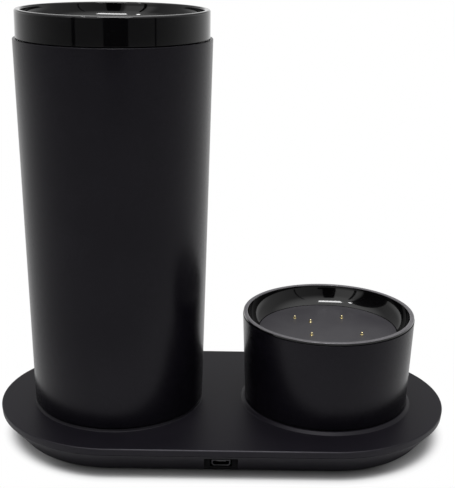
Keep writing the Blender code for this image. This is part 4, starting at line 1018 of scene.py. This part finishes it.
def bowl_side(floor, spare=0.0):
    """Corners up the hollow arc of a bowl's side, from its floor to its rim."""
    slope = math.degrees(math.atan2(BOWL_FLARE, BOWL_DEPTH))
    half_turn = BOWL_TURN / 2
    radius = math.hypot(BOWL_FLARE, BOWL_DEPTH) / 2 / math.sin(math.radians(half_turn))
    rim_slope = math.radians(slope - half_turn)
    centre = (bowl_rim_radius - radius * math.cos(rim_slope) + spare,
              floor + BOWL_DEPTH + radius * math.sin(rim_slope))
    return arc(centre, radius, -(slope + half_turn), -(slope - half_turn), 12)


# %% Foot caps
RING_WIDTH = 1.8 * MM
RING_ROUND = 0.12 * MM
FOOT_FLOOR = 3.2 * MM
FOOT_WALL = 1.9 * MM
SPIGOT_WALL = 1.8 * MM
SPIGOT_HEIGHT = 6.0 * MM
SPIGOT_ROUND = 0.4 * MM
PEG_RADIUS = 1.6 * MM
PEG_HEIGHT = 2.8 * MM
PEG_INSET = 5.0 * MM
RING_LABELS = ("inner", "middle", "outer")


def build_foot(owner, body, x, pegs):
    bottom = low_of(f"{owner}_foot_cap")
    floor_top = bottom + FOOT_FLOOR
    shoulder = station_floor + BOWL_DEPTH
    spigot = shell_bore - GAP
    ring_top = high_of(f"{owner}_contact_ring_outer") + GAP
    groove = RING_WIDTH / 2 + GAP
    side = bowl_side(station_floor, -GAP)
    share = (bottom - side[0][1]) / (side[1][1] - side[0][1])
    side_start = side[0][0] + share * (side[1][0] - side[0][0])
    inner_wall = side[4][0] - FOOT_WALL
    underside = [(0, bottom)]
    for label in RING_LABELS:
        track = radius_of(f"{owner}_contact_ring_{label}") - RING_WIDTH / 2
        underside += [(track - groove, bottom, FINE), (track - groove, ring_top),
                      (track + groove, ring_top), (track + groove, bottom, FINE)]
    bm = bmesh.new()
    turn(bm, [*underside, (underside[-1][0] + THIN_STRIP, bottom)], x)
    turn(bm, [(side_start - THIN_STRIP, bottom), (side_start, bottom), *side[1:],
              (spigot, shoulder, CRISP), (spigot, shoulder + SPIGOT_HEIGHT, SPIGOT_ROUND),
              (spigot - SPIGOT_WALL, shoulder + SPIGOT_HEIGHT, SPIGOT_ROUND),
              (spigot - SPIGOT_WALL, shoulder), (inner_wall, floor_top),
              (inner_wall - STRIP, floor_top)], x)
    recess = bottom + HEAD_HEIGHT + 2 * GAP
    turn_at(bm, f"{owner}_foot_screw", 3, [
        (HEAD_RADIUS + 1.7 * GAP, bottom), (HEAD_RADIUS + GAP, bottom, FINE),
        (HEAD_RADIUS + GAP, recess), (BORE, recess), (BORE, floor_top)])
    for degrees in pegs:
        angle = math.radians(degrees)
        reach = radius_of("mug_control_board") - PEG_INSET
        turn(bm, [(PEG_RADIUS, floor_top), (PEG_RADIUS, floor_top + PEG_HEIGHT, SOFT),
                  (0, floor_top + PEG_HEIGHT)],
             x + reach * math.cos(angle), reach * math.sin(angle), SMALL_STEPS)
    add_piece(f"{owner}_foot", bm, "foot_plastic", body, f"{owner}_foot_cap",
              levels=(bottom, floor_top))
    for label in RING_LABELS:
        build_ring(f"{owner}_gold_ring_{label}", f"{owner}_contact_ring_{label}", RING_WIDTH,
                   RING_ROUND, "gold_contact", body, x)


build_foot("mug", "mug", mug_x, (30, 150, 270))
build_foot("base", "battery_base", base_x, ())

# %% [markdown]
# ## The battery base
#
# A matte shell carries a polished bowl, whose thin flange lies on the shell and shows as a
# fine line round the top. The bowl's floor is a separate satin plate with five holes. In
# each stands a gold pin, in the rounded end of the barrel that guides it.

# %% Shell of the battery base
BASE_WALL = 1.8 * MM
BASE_TOP_WALL = 0.9 * MM

base_rim_radius, low, high = extent_of("base_outer_shell")
turned_piece("base_body", [
    (shell_bore, low, BROKEN),
    (shell_bore + BASE_WALL, low, EDGE_ROUND),
    (base_rim_radius, high, FINE),
    (base_rim_radius - BASE_TOP_WALL, high, CRISP),
], base_x, "shell_lacquer", "battery_base", "base_outer_shell", slot="base_shell")

# %% Bowl, with its posts and pin holes
BOWL_FLANGE = 1.0 * MM
BOWL_RIM_ROUND = 0.4 * MM
FLANGE_ROUND = 0.12 * MM
BOWL_WALL = 1.8 * MM
BOWL_FOOT_ROUND = 0.5 * MM
SHELF_THICKNESS = 1.5 * MM
POST_RADIUS = 2.7 * MM
POST_BORE_DEPTH = 8.0 * MM
PIN_HOLE_RADIUS = 0.8 * MM

bowl_radius, post_bottom, bowl_rim_level = extent_of("base_bowl")
plate_radius, plate_low, bowl_floor_level = extent_of("bowl_floor_plate")
shelf_top = plate_low - GAP
shelf_bottom = shelf_top - SHELF_THICKNESS
flange_low = bowl_rim_level - BOWL_FLANGE
below_flange = base_rim_radius - BASE_TOP_WALL - GAP
pins = [centre_of(f"bowl_pin_{number}") for number in range(1, 6)]


def pin_holes(bm, x, top, bottom, rounding):
    """Five holes like those of the bowl, about another axis."""
    for pin_x, pin_y in pins:
        drill(bm, PIN_HOLE_RADIUS, top, bottom, pin_x - base_x + x, pin_y, rounding)


bm = bmesh.new()
turn(bm, [
    (bowl_floor_radius - STRIP, shelf_top),
    (bowl_floor_radius, shelf_top),
    *bowl_side(bowl_floor_level)[:-1],
    (bowl_rim_radius, bowl_rim_level, BOWL_RIM_ROUND),
    (bowl_radius, bowl_rim_level, BOWL_RIM_ROUND),
    (bowl_radius, flange_low, FLANGE_ROUND),
    (below_flange, flange_low, FLANGE_ROUND),
    (below_flange, flange_low - BOWL_WALL),
    (bowl_floor_radius + BOWL_WALL, shelf_bottom, BOWL_FOOT_ROUND),
    (bowl_floor_radius, shelf_bottom),
], base_x)
bore_top = post_bottom + POST_BORE_DEPTH
turn_at(bm, "base_foot_screw", 3, [
    (POST_RADIUS, shelf_bottom), (POST_RADIUS, post_bottom, BROKEN), (BORE, post_bottom),
    (BORE, bore_top), (0, bore_top)])
pin_holes(bm, base_x, shelf_top, shelf_bottom, CRISP)
add_piece("bowl", bm, "bowl_gloss", "battery_base", "base_bowl", levels=(shelf_top, shelf_bottom))

# %% Floor plate
PLATE_EDGE = 0.25 * MM
PLATE_STRIP = 0.8 * MM

bm = bmesh.new()
turn(bm, [(plate_radius - STRIP, plate_low), (plate_radius, plate_low, CRISP),
          (plate_radius, bowl_floor_level, PLATE_EDGE),
          (plate_radius - PLATE_STRIP, bowl_floor_level)], base_x)
pin_holes(bm, base_x, bowl_floor_level, plate_low, CRISP)
add_piece("bowl_floor", bm, "bowl_floor", "battery_base", "bowl_floor_plate",
          levels=(bowl_floor_level, plate_low))

# %% Sprung gold pins, and the sleeves that guide them
PIN_DOME = 0.45 * MM
CONTACT_PLATE = 1.0 * MM
CONTACT_RADIUS = 0.5 * MM
SLEEVE_BORE = 0.55 * MM
SLEEVE_PROUD = 0.22 * MM
SLEEVE_ROUND = 0.18 * MM
SLEEVE_PLAY = 0.02 * MM

for number, (x, y) in enumerate(pins, 1):
    node = f"bowl_pin_{number}"
    radius, low, high = extent_of(node)
    turned_piece(f"gold_pin_{number}", [(0, low), (radius, low, CRISP), (radius, high, PIN_DOME),
                                        (0, high)],
                 x, "gold_contact", node, node, y, PIN_STEPS, closed=False)

bm = bmesh.new()
barrel = PIN_HOLE_RADIUS - SLEEVE_PLAY
high = bowl_floor_level + SLEEVE_PROUD
for x, y in pins:
    turn(bm, [(SLEEVE_BORE, plate_low), (barrel, plate_low), (barrel, high, SLEEVE_ROUND),
              (SLEEVE_BORE, high, SLEEVE_PLAY)], x, y, PIN_STEPS, closed=True)
add_piece("pin_sleeves", bm, "gold_contact", "battery_base")

# The sprung plate under each station's floor carries five pins like those of the bowl.
for side, x in (("left", mug_x), ("right", base_x)):
    node = f"{side}_station_contacts"
    radius, low, high = extent_of(node)
    level = low + CONTACT_PLATE
    bm = bmesh.new()
    turn(bm, [(0, low), (radius, low, BROKEN), (radius, level, BROKEN),
              (radius - PLATE_STRIP, level)], x)
    for pin_x, pin_y in pins:
        turn(bm, [(PIN_HOLE_RADIUS, level), (CONTACT_RADIUS, level, CRISP),
                  (CONTACT_RADIUS, high, PIN_DOME), (0, high)],
             pin_x - base_x + x, pin_y, PIN_STEPS)
    add_piece(f"{side}_pins", bm, "gold_contact", f"{side}_contacts", node, levels=(level,))

# %% [markdown]
# ## The dock's top cover
#
# Seen from above the dock is a stadium: two half circles and straight sides. The skirt's
# outline is drawn in front of one station, spun half way round it, drawn along the back,
# spun round the other station and drawn home. The flat plate is then filled between the
# skirt and the two collars, which are turned like bowls. The collar under the mug is a
# little steeper, because the photograph shows it as a thin line there.

# %% Carry an outline round the stadium
HALF_STEPS = 90


def carry_round(bm, corners):
    """Sweeps an outline, whose radii count from the stations' axes, round the dock."""
    wire = draw_wire(bm, corners, base_x, heading=(0, -1))
    for x, step in ((base_x, -spacing), (mug_x, spacing)):
        spun = bmesh.ops.spin(bm, geom=wire, cent=(x, 0, 0), axis=(0, 0, 1),
                              angle=math.pi, steps=HALF_STEPS)
        drawn = bmesh.ops.extrude_edge_only(bm, edges=only(spun["geom_last"], EDGE))
        wire = only(drawn["geom"], VERT, EDGE)
        bmesh.ops.translate(bm, verts=only(wire, VERT), vec=(step, 0, 0))
    bmesh.ops.remove_doubles(bm, verts=bm.verts, dist=MERGE)


# %% Cover with its two stations
LIP_ROUND = 0.5 * MM
LIP_DRAFT = 0.3 * MM
LIP_THICKNESS = 2.4 * MM
COVER_THICKNESS = 1.8 * MM
LIP_SKIRT = 1.1 * MM
COLLAR_WIDTH = 1.1 * MM
COLLAR_FLARE = 1.1 * MM
MUG_COLLAR_FLARE = 0.5 * MM
COLLAR_FILLET = 0.25 * MM
STATION_WALL = 1.6 * MM
STATION_HOLE_ROUND = 0.12 * MM
BOSS_RADIUS = 3.0 * MM

dock_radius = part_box("dock_top_cover")[1].y
collar_top = high_of("dock_top_cover")
boss_bottom = low_of("dock_top_cover")
plate_top = collar_top - PLATE_BELOW_COLLAR
plate_underside = plate_top - COVER_THICKNESS
lip_bottom = plate_underside - LIP_SKIRT
station_underside = station_floor - STATION_WALL
ceiling = dock_radius - LIP_THICKNESS


def add_station(bm, x, flare):
    """Collar, bowl, floor and underside of one station, open where levels are filled."""
    collar_base = bowl_rim_radius + COLLAR_WIDTH + flare
    turn(bm, [
        (collar_base + THIN_STRIP, plate_top),
        (collar_base, plate_top, COLLAR_FILLET),
        (bowl_rim_radius + COLLAR_WIDTH, collar_top, SOFT),
        (bowl_rim_radius, collar_top, SOFT),
        *reversed(bowl_side(station_floor)[:-1]),
        (bowl_floor_radius - STRIP, station_floor),
    ], x)
    outside = bowl_side(station_floor, STATION_WALL)
    turn(bm, [
        (outside[-4][0] + STRIP, plate_underside),
        *[corner for corner in reversed(outside) if corner[1] < plate_underside][:-1],
        (bowl_floor_radius, station_underside),
        (bowl_floor_radius - STRIP, station_underside),
    ], x)
    pin_holes(bm, x, station_floor, station_underside, STATION_HOLE_ROUND)
    close_level(bm, station_floor, x, bowl_rim_radius)
    close_level(bm, station_underside, x, bowl_rim_radius)


bm = bmesh.new()
carry_round(bm, [
    (dock_radius - LIP_ROUND - STRIP, plate_top),
    (dock_radius, plate_top, LIP_ROUND),
    (dock_radius - LIP_DRAFT, lip_bottom, FINE),
    (ceiling, lip_bottom, FINE),
    (ceiling, plate_underside),
    (ceiling - THIN_STRIP, plate_underside),
])
add_station(bm, mug_x, MUG_COLLAR_FLARE)
add_station(bm, base_x, COLLAR_FLARE)
turn_at(bm, "dock_screw", 4, [
    (BOSS_RADIUS, plate_underside), (BOSS_RADIUS, boss_bottom, BROKEN), (BORE, boss_bottom),
    (BORE, plate_underside - GAP), (0, plate_underside - GAP)])
add_piece("dock_cover", bm, "dock_coating", "dock", "dock_top_cover",
          levels=(plate_top, plate_underside))

# %% [markdown]
# ## The dock's pan, its notch and the socket
#
# The pan slopes in under the lip, so the dock seems to float. At its front a notch takes
# the charging plug: a straight sided pocket that Booleans cut, whose edges a small bevel
# then breaks. In it lies the slot for the steel mouth of the socket.

# %% Measure the pan
PAN_WALL = 1.9 * MM
PAN_FLOOR = 1.2 * MM
PAN_STEP = 0.4 * MM
PAN_INSET = 9.3 * MM

pan_bottom, pan_top = low_of("dock_bottom_pan"), high_of("dock_bottom_pan")
pan_top_radius = dock_radius - LIP_DRAFT - PAN_STEP
pan_base_radius = dock_radius - PAN_INSET
pan_floor_top = pan_bottom + PAN_FLOOR


def pan_radius(height):
    """End radius of the pan's sloped side at a height."""
    share = (height - pan_bottom) / (pan_top - pan_bottom)
    return pan_base_radius + share * (pan_top_radius - pan_base_radius)


inside_low = pan_radius(pan_floor_top) - PAN_WALL
print("the pan slopes in by", round((pan_top_radius - pan_base_radius) / MM, 1), "mm")

# %% Cut the notch
NOTCH_WIDTH = 13.6 * MM
NOTCH_DROP = 1.8 * MM
NOTCH_FACE_DEPTH = 7.7 * MM
NOTCH_FACE_THICKNESS = 1.4 * MM
NOTCH_EDGE = 0.22 * MM
SLOT_WIDTH = 9.0 * MM
SLOT_SPARE = 0.3 * MM
SLOT_CORNER = 0.5 * MM
NEAR = 0.01 * MM

notch_side = NOTCH_WIDTH / 2
notch_face = dock_radius - NOTCH_FACE_DEPTH
notch_top = lip_bottom - NOTCH_DROP


def notch_housing():
    """The wedge inside the pan's wall that the notch and its slot are cut from."""
    high = notch_top + NOTCH_FACE_THICKNESS / 2
    back = notch_face - NOTCH_FACE_THICKNESS
    share = (back + PAN_WALL / 2 - pan_base_radius) / (pan_top_radius - pan_base_radius)
    low = pan_bottom + share * (pan_top - pan_bottom)
    outline = [(-back, low), (PAN_WALL / 2 - pan_radius(high), high), (-back, high)]
    side = notch_side + NOTCH_FACE_THICKNESS
    bm = bmesh.new()
    face = bm.faces.new([bm.verts.new((-side, y, z)) for y, z in outline])
    draw_faces(bm, [face], (2 * side, 0, 0))
    return bm


def on_mouth(edge):
    """Whether an edge is one of those round the notch's mouth."""
    middle = (edge.verts[0].co + edge.verts[1].co) / 2
    return (len(edge.link_faces) == 2 and edge.calc_face_angle(0) >= math.radians(30)
            and abs(middle.x) <= notch_side + NEAR and middle.y <= -notch_face - 5 * NEAR
            and max(v.co.z for v in edge.verts) < notch_top + NEAR)


def cut_notch(bm):
    """Cuts the notch and the slot, and softens the edges where they meet the pan."""
    pocket = bmesh.new()
    slab(pocket, (-notch_side, -dock_radius, pan_bottom - 1 * MM),
         (notch_side, -notch_face, notch_top))
    slot = bmesh.new()
    slab(slot, (-SLOT_WIDTH / 2, -dock_radius, low_of("socket_shell") - SLOT_SPARE),
         (SLOT_WIDTH / 2, -notch_face + 2 * NOTCH_FACE_THICKNESS,
          high_of("socket_shell") + SLOT_SPARE))
    bevel(slot, [e for e in slot.edges if abs(e.verts[0].co.y - e.verts[1].co.y) > 1 * MM],
          SLOT_CORNER, 5)
    bm = carved(bm, (notch_housing(), "UNION"), (pocket, "DIFFERENCE"), (slot, "DIFFERENCE"))
    mouth = [edge for edge in bm.edges if on_mouth(edge)]
    bevel(bm, mouth, NOTCH_EDGE, 2, clamp=True)
    print("edges softened at the notch:", len(mouth))
    return bm


# %% Pan
PAN_BASE_ROUND = 1.1 * MM
PAN_RIM_ROUND = 0.25 * MM
PAN_INSIDE_ROUND = 0.8 * MM
PAN_STRIP = 2.4 * MM
TOWER_RADIUS = 4.4 * MM
TOWER_HEIGHT = 3.0 * MM

bm = bmesh.new()
carry_round(bm, [
    (pan_base_radius - PAN_STRIP, pan_bottom),
    (pan_base_radius, pan_bottom, PAN_BASE_ROUND),
    (pan_top_radius, pan_top, PAN_RIM_ROUND),
    (pan_top_radius - PAN_WALL, pan_top, PAN_RIM_ROUND),
    (inside_low, pan_floor_top, PAN_INSIDE_ROUND),
    (inside_low - 2 * PAN_INSIDE_ROUND, pan_floor_top),
])
for number in range(1, 5):
    recess = pan_bottom + HEAD_HEIGHT + GAP
    tower_top = pan_floor_top + TOWER_HEIGHT
    turn(bm, [(TOWER_RADIUS, pan_floor_top), (TOWER_RADIUS, tower_top, SOFT),
              (BORE, tower_top), (BORE, recess),
              (HEAD_RADIUS + GAP, recess), (HEAD_RADIUS + GAP, pan_bottom, BROKEN),
              (HEAD_RADIUS + 2.5 * GAP, pan_bottom)],
         *centre_of(f"dock_screw_{number}"), SMALL_STEPS)
    radius, low, high = extent_of(f"dock_foot_{number}")
    turn(bm, [(radius + GAP + THIN_STRIP, pan_bottom), (radius + GAP, pan_bottom, FINE),
              (radius + GAP, high + GAP), (0, high + GAP)],
         *centre_of(f"dock_foot_{number}"), 48)
close_level(bm, pan_bottom)
close_level(bm, pan_floor_top)
bm = cut_notch(bm)
add_piece("dock_pan", bm, "dock_coating", "dock", "dock_bottom_pan")

# %% Rubber feet, each with a shallow hollow underneath
HOLLOW = 0.15 * MM

for number in range(1, 5):
    node = f"dock_foot_{number}"
    radius, low, high = extent_of(node)
    x, y = centre_of(node)
    turned_piece(f"rubber_foot_{number}", [
        (0, low + HOLLOW), (radius * 0.72, low + HOLLOW, CRISP), (radius * 0.76, low, CRISP),
        (radius, low, 0.25 * MM), (radius, high), (0, high),
    ], x, "foot_rubber", "dock", node, y, 64, closed=False)

# %% Socket: steel mouth, tongue and contacts
SOCKET_WALL = 0.35 * MM
SOCKET_CHAMFER = 0.7 * MM
SOCKET_ROUND = 0.25 * MM
TONGUE_STRIPS = 5
STRIP_END = 0.3 * MM

low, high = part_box("socket_shell")
outline = [(low.x + SOCKET_CHAMFER, low.z), (high.x - SOCKET_CHAMFER, low.z),
           (high.x, low.z + SOCKET_CHAMFER), (high.x, high.z), (low.x, high.z),
           (low.x, low.z + SOCKET_CHAMFER)]
bm = bmesh.new()
face = bm.faces.new([bm.verts.new((x, high.y, z)) for x, z in outline])
bevel(bm, list(face.verts), SOCKET_ROUND, 4, "VERTICES")
back = max(bm.faces, key=lambda f: f.calc_area())
mouth = draw_faces(bm, [back], (0, low.y - high.y, 0))
inset = bmesh.ops.inset_region(bm, faces=mouth, thickness=SOCKET_WALL, use_even_offset=True)
draw_faces(bm, mouth, (0, high.y - low.y - SOCKET_WALL, 0))
drop_faces(bm, mouth)
print("faces round the socket's mouth:", len(inset["faces"]))
add_piece("socket_mouth", bm, "socket_steel", "dock", "socket_shell")

low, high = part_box("socket_tongue")
bm = bmesh.new()
slab(bm, low, high, STRIP_END, 4)
soften(bm, 0.08 * MM, 2)
add_piece("socket_tongue_fine", bm, "grey_nylon", "dock", "socket_tongue")

pitch = (high.x - low.x) / (TONGUE_STRIPS + 1)
bm = bmesh.new()
for number in range(1, TONGUE_STRIPS + 1):
    middle = low.x + pitch * number
    slab(bm, (middle - pitch / 4, low.y + STRIP_END, low.z - 0.08 * MM),
         (middle + pitch / 4, high.y - STRIP_END, low.z - 0.01 * MM), 0.05 * MM, 2)
add_piece("socket_contacts", bm, "gold_contact", "dock")

# %% [markdown]
# ## What stays inside
#
# The remaining nodes keep their solids, whose shape is right, and get a finish in place of
# the plain colour that they were packed with.

# %% Dress the inner nodes
for finish, nodes in (
        ("foam", ("insulation_sleeve", "heater_insulation")),
        ("heater_aluminium", ("heater_plate",)),
        ("heating_film", ("heating_film",)),
        ("grey_nylon", ("temperature_sensor", "heater_carrier", "base_pin_block", "cell_tray")),
        ("lead_insulation", ("heater_lead",)),
        ("circuit_board", ("mug_control_board", "base_control_board", "dock_circuit_board")),
        ("cell_wrap", ("battery_cell_lower", "battery_cell_upper"))):
    for node in nodes:
        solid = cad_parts[node]
        if not solid.material_slots:
            solid.data.materials.append(FINISHES[finish])
        for held in solid.material_slots:
            held.material = FINISHES[finish]
    print(finish, "dresses", ", ".join(nodes))

# %% [markdown]
# ## Floor
#
# The floor is white and plain. Near the object it is a real surface that takes the shadow.
# Farther out the camera sees it at full white, so the picture's ground is even, and
# reflections see a level that falls off in front. Neither throws light on the object. Under
# the dock a painted shadow darkens the paper, which keeps the dock's underside dark; at its
# two ends the painted shadow is paler again, and at the left end the camera's white starts
# nearer the dock, a painted lighter floor on that side. From below the camera looks through
# the floor.

# %% Brightness round the horizon
FRONT_LEVEL = 0.11
TABLE_LEVEL = 0.60
TABLE_EDGE = (0.7, 1.7)


def horizon_level(x, y):
    """Full brightness behind the object, falling to little in front of the table."""
    reach = length_of(x, y)
    backward = (y / reach + 1) / 2
    front = rise(reach, *TABLE_EDGE, TABLE_LEVEL, FRONT_LEVEL)
    return backward * backward * (1 - front) + front


def ray_kinds(tree, *kinds):
    """One where a ray is of one of these kinds."""
    rays = tree.nodes.new("ShaderNodeLightPath")
    total = Value(tree, rays.outputs[kinds[0]])
    for kind in kinds[1:]:
        total = total.math("MAXIMUM", total, Value(tree, rays.outputs[kind]))
    return total


# %% Floor
FLOOR_RADIUS = 6.0
SHADOW_BLEND = (-6 * MM, 2.5 * MM)
MIRROR_BLEND = (-0.01, 0.11)
FLOOR_TONE = (0.84, 0.84, 0.845, 1)
# A painted shadow: the paper's colour darkens under the dock and grows paler towards its two ends.
UNDER_DOCK_SHADOW_TONE = (0.28, 0.28, 0.285, 1)
UNDER_DOCK_SHADOW_BLEND = (-12 * MM, -1 * MM)
SHADOW_ENDS_BLEND = (10 * MM, 32 * MM)
END_TONE = 0.4
# At the left end the camera's white starts nearer the dock, a painted lighter floor on that side.
LEFT_SHIFT = 2 * MM
END_X = (50 * MM, 85 * MM)

white_floor = bpy.data.materials.new("white_floor")
white_floor.use_nodes = True
tree = white_floor.node_tree
tree.nodes.clear()
place = Value(tree, tree.nodes.new("ShaderNodeTexCoord").outputs["Object"])
x, y = axes(place)[:2]
beside, reach = from_dock_line(x, y)
clear = reach - dock_radius
camera_rays = ray_kinds(tree, "Is Camera Ray")
mirror_rays = ray_kinds(tree, "Is Glossy Ray", "Is Transmission Ray")
far = rise(clear, *MIRROR_BLEND) * mirror_rays
at_left = rise(x, -END_X[1], -END_X[0], 1, 0)
near = rise(clear + at_left * LEFT_SHIFT, *SHADOW_BLEND) * camera_rays
strength = camera_rays + horizon_level(x, y) * (1 - camera_rays)
# Painted shadow under the dock, lifted at its ends, fully for the camera and partly for other rays.
light = rise(clear, *UNDER_DOCK_SHADOW_BLEND)
at_ends = rise(beside, *SHADOW_ENDS_BLEND) * (camera_rays * (1 - END_TONE) + END_TONE)
tone = mixed(light.math("MAXIMUM", light, at_ends), UNDER_DOCK_SHADOW_TONE, FLOOR_TONE)
paper = place.node("BsdfDiffuse", {"Color": tone})
white = place.node("Emission", {"Color": WHITE, "Strength": strength})
above = place.node("MixShader", {0: far + near, 1: paper, 2: white})
below = place.node("NewGeometry", {}, output="Backfacing") * camera_rays
clear_view = place.node("BsdfTransparent", {})
shown = place.node("MixShader", {0: below, 1: above, 2: clear_view})
target = tree.nodes.new("ShaderNodeOutputMaterial")
tree.links.new(shown.socket, target.inputs["Surface"])

bm = bmesh.new()
bmesh.ops.create_circle(bm, cap_ends=True, segments=128, radius=FLOOR_RADIUS)
floor = bmesh_object("floor", bm)
floor.data.materials.append(white_floor)
print("the floor reaches", FLOOR_RADIUS, "m out")

# %% [markdown]
# ## Sky and lamps
#
# The sky is a soft studio: bright above, dimmer at the sides, with a slight dip in the
# middle of its walls and a pale screen at the front left. Black gloss mirrors all of it, and
# also the dark shapes of the camera, of its tripod and of two lamp stands. Those are black
# panels that the camera doesn't see. Two lamps above draw the bright strips in the dishes.

# %% Sky
SKY_TOP = 1.55
SKY_TOP_FROM = (0.60, 0.95)
SKY_FRONT = 0.28
SKY_BACK = 0.34
SKY_SIDES = 0.20
BACK_DIP = (0.02, 0.20)
BACK_DIP_LEVEL = 0.75
HORIZON_FADE = (0.10, 0.34)
SCREEN_LEVEL = 0.70
SCREEN_EDGES = (-0.78, -0.18)
SCREEN_HEIGHTS = (0.10, 0.80)


def window(value, low, high, low_fade, high_fade):
    """One between two limits, with a soft edge at each."""
    return (rise(value, low - low_fade, low + low_fade)
            * rise(value, high - high_fade, high + high_fade, 1, 0))


world = bpy.data.worlds.new("studio")
bpy.context.scene.world = world
world.use_nodes = True
tree = world.node_tree
background = tree.nodes["Background"]
view = Value(tree, tree.nodes.new("ShaderNodeTexCoord").outputs["Generated"])
x, y, z = axes(view)
top = rise(z, *SKY_TOP_FROM)
walls = rise(y, -1.0, 0.2, SKY_FRONT, SKY_BACK) + x * x * SKY_SIDES
walls = walls * rise(abs(x), *BACK_DIP, BACK_DIP_LEVEL, 1)
white_low = rise(z, *HORIZON_FADE, 1, 0) * rise(y, -0.1, 0.5)
walls = walls * (1 - white_low) + white_low
screen = (window(x / length_of(x, y), *SCREEN_EDGES, 0.08, 0.05)
          * window(z, *SCREEN_HEIGHTS, 0.1, 0.1) * rise(y, -0.1, 0, 1, 0))
level = walls * (1 - top) + top * SKY_TOP + screen * SCREEN_LEVEL
camera_rays = ray_kinds(tree, "Is Camera Ray", "Is Transmission Ray")
strength = level * (1 - camera_rays) + camera_rays
background.inputs["Color"].default_value = WHITE
tree.links.new(strength.socket, background.inputs["Strength"])
print("sky level at the top:", SKY_TOP)

# %% Lamps, and the dark shapes of the camera, the tripod and the stands
def soft_lamp(name, place, size, radiance):
    """A rectangular lamp that faces down, as bright as is said."""
    lamp = add_object(name, bpy.data.lights.new(name, "AREA"))
    lamp.data.shape = "RECTANGLE"
    lamp.data.size, lamp.data.size_y = size
    lamp.data.energy = radiance * math.pi * size[0] * size[1]
    lamp.location = place


def build_flag(name, x, y, width, low, high):
    """A black upright panel turned towards the object, which the camera doesn't see."""
    bm = bmesh.new()
    bmesh.ops.create_grid(bm, x_segments=1, y_segments=1, size=0.5)
    bmesh.ops.scale(bm, vec=(width, high - low, 1), verts=bm.verts)
    for angle, axis in ((math.pi / 2, "X"), (math.atan2(x, -y), "Z")):
        bmesh.ops.rotate(bm, matrix=Matrix.Rotation(angle, 3, axis), verts=bm.verts)
    bmesh.ops.translate(bm, verts=bm.verts, vec=(x, y, (low + high) / 2))
    flag = bmesh_object(name, bm)
    flag.data.materials.append(FINISHES["flag_cloth"])
    flag.visible_camera = False


new_finish("flag_cloth", Base_Color=BLACK, Specular_IOR_Level=0.0)
soft_lamp("long_lamp", (0.0, -0.25, 0.85), (0.34, 0.11), 20)
soft_lamp("small_lamp", (-0.31, -0.20, 0.85), (0.05, 0.05), 40)
build_flag("camera_flag", 0.0, -0.47, 0.17, 0.16, 0.70)
build_flag("tripod_flag", 0.029, -0.47, 0.228, 0.09, 0.16)
build_flag("left_stand", -0.410, -0.459, 0.045, 0.09, 0.82)
build_flag("right_stand", 0.439, -0.355, 0.020, 0.09, 0.82)
print("pieces made:", len(pieces))
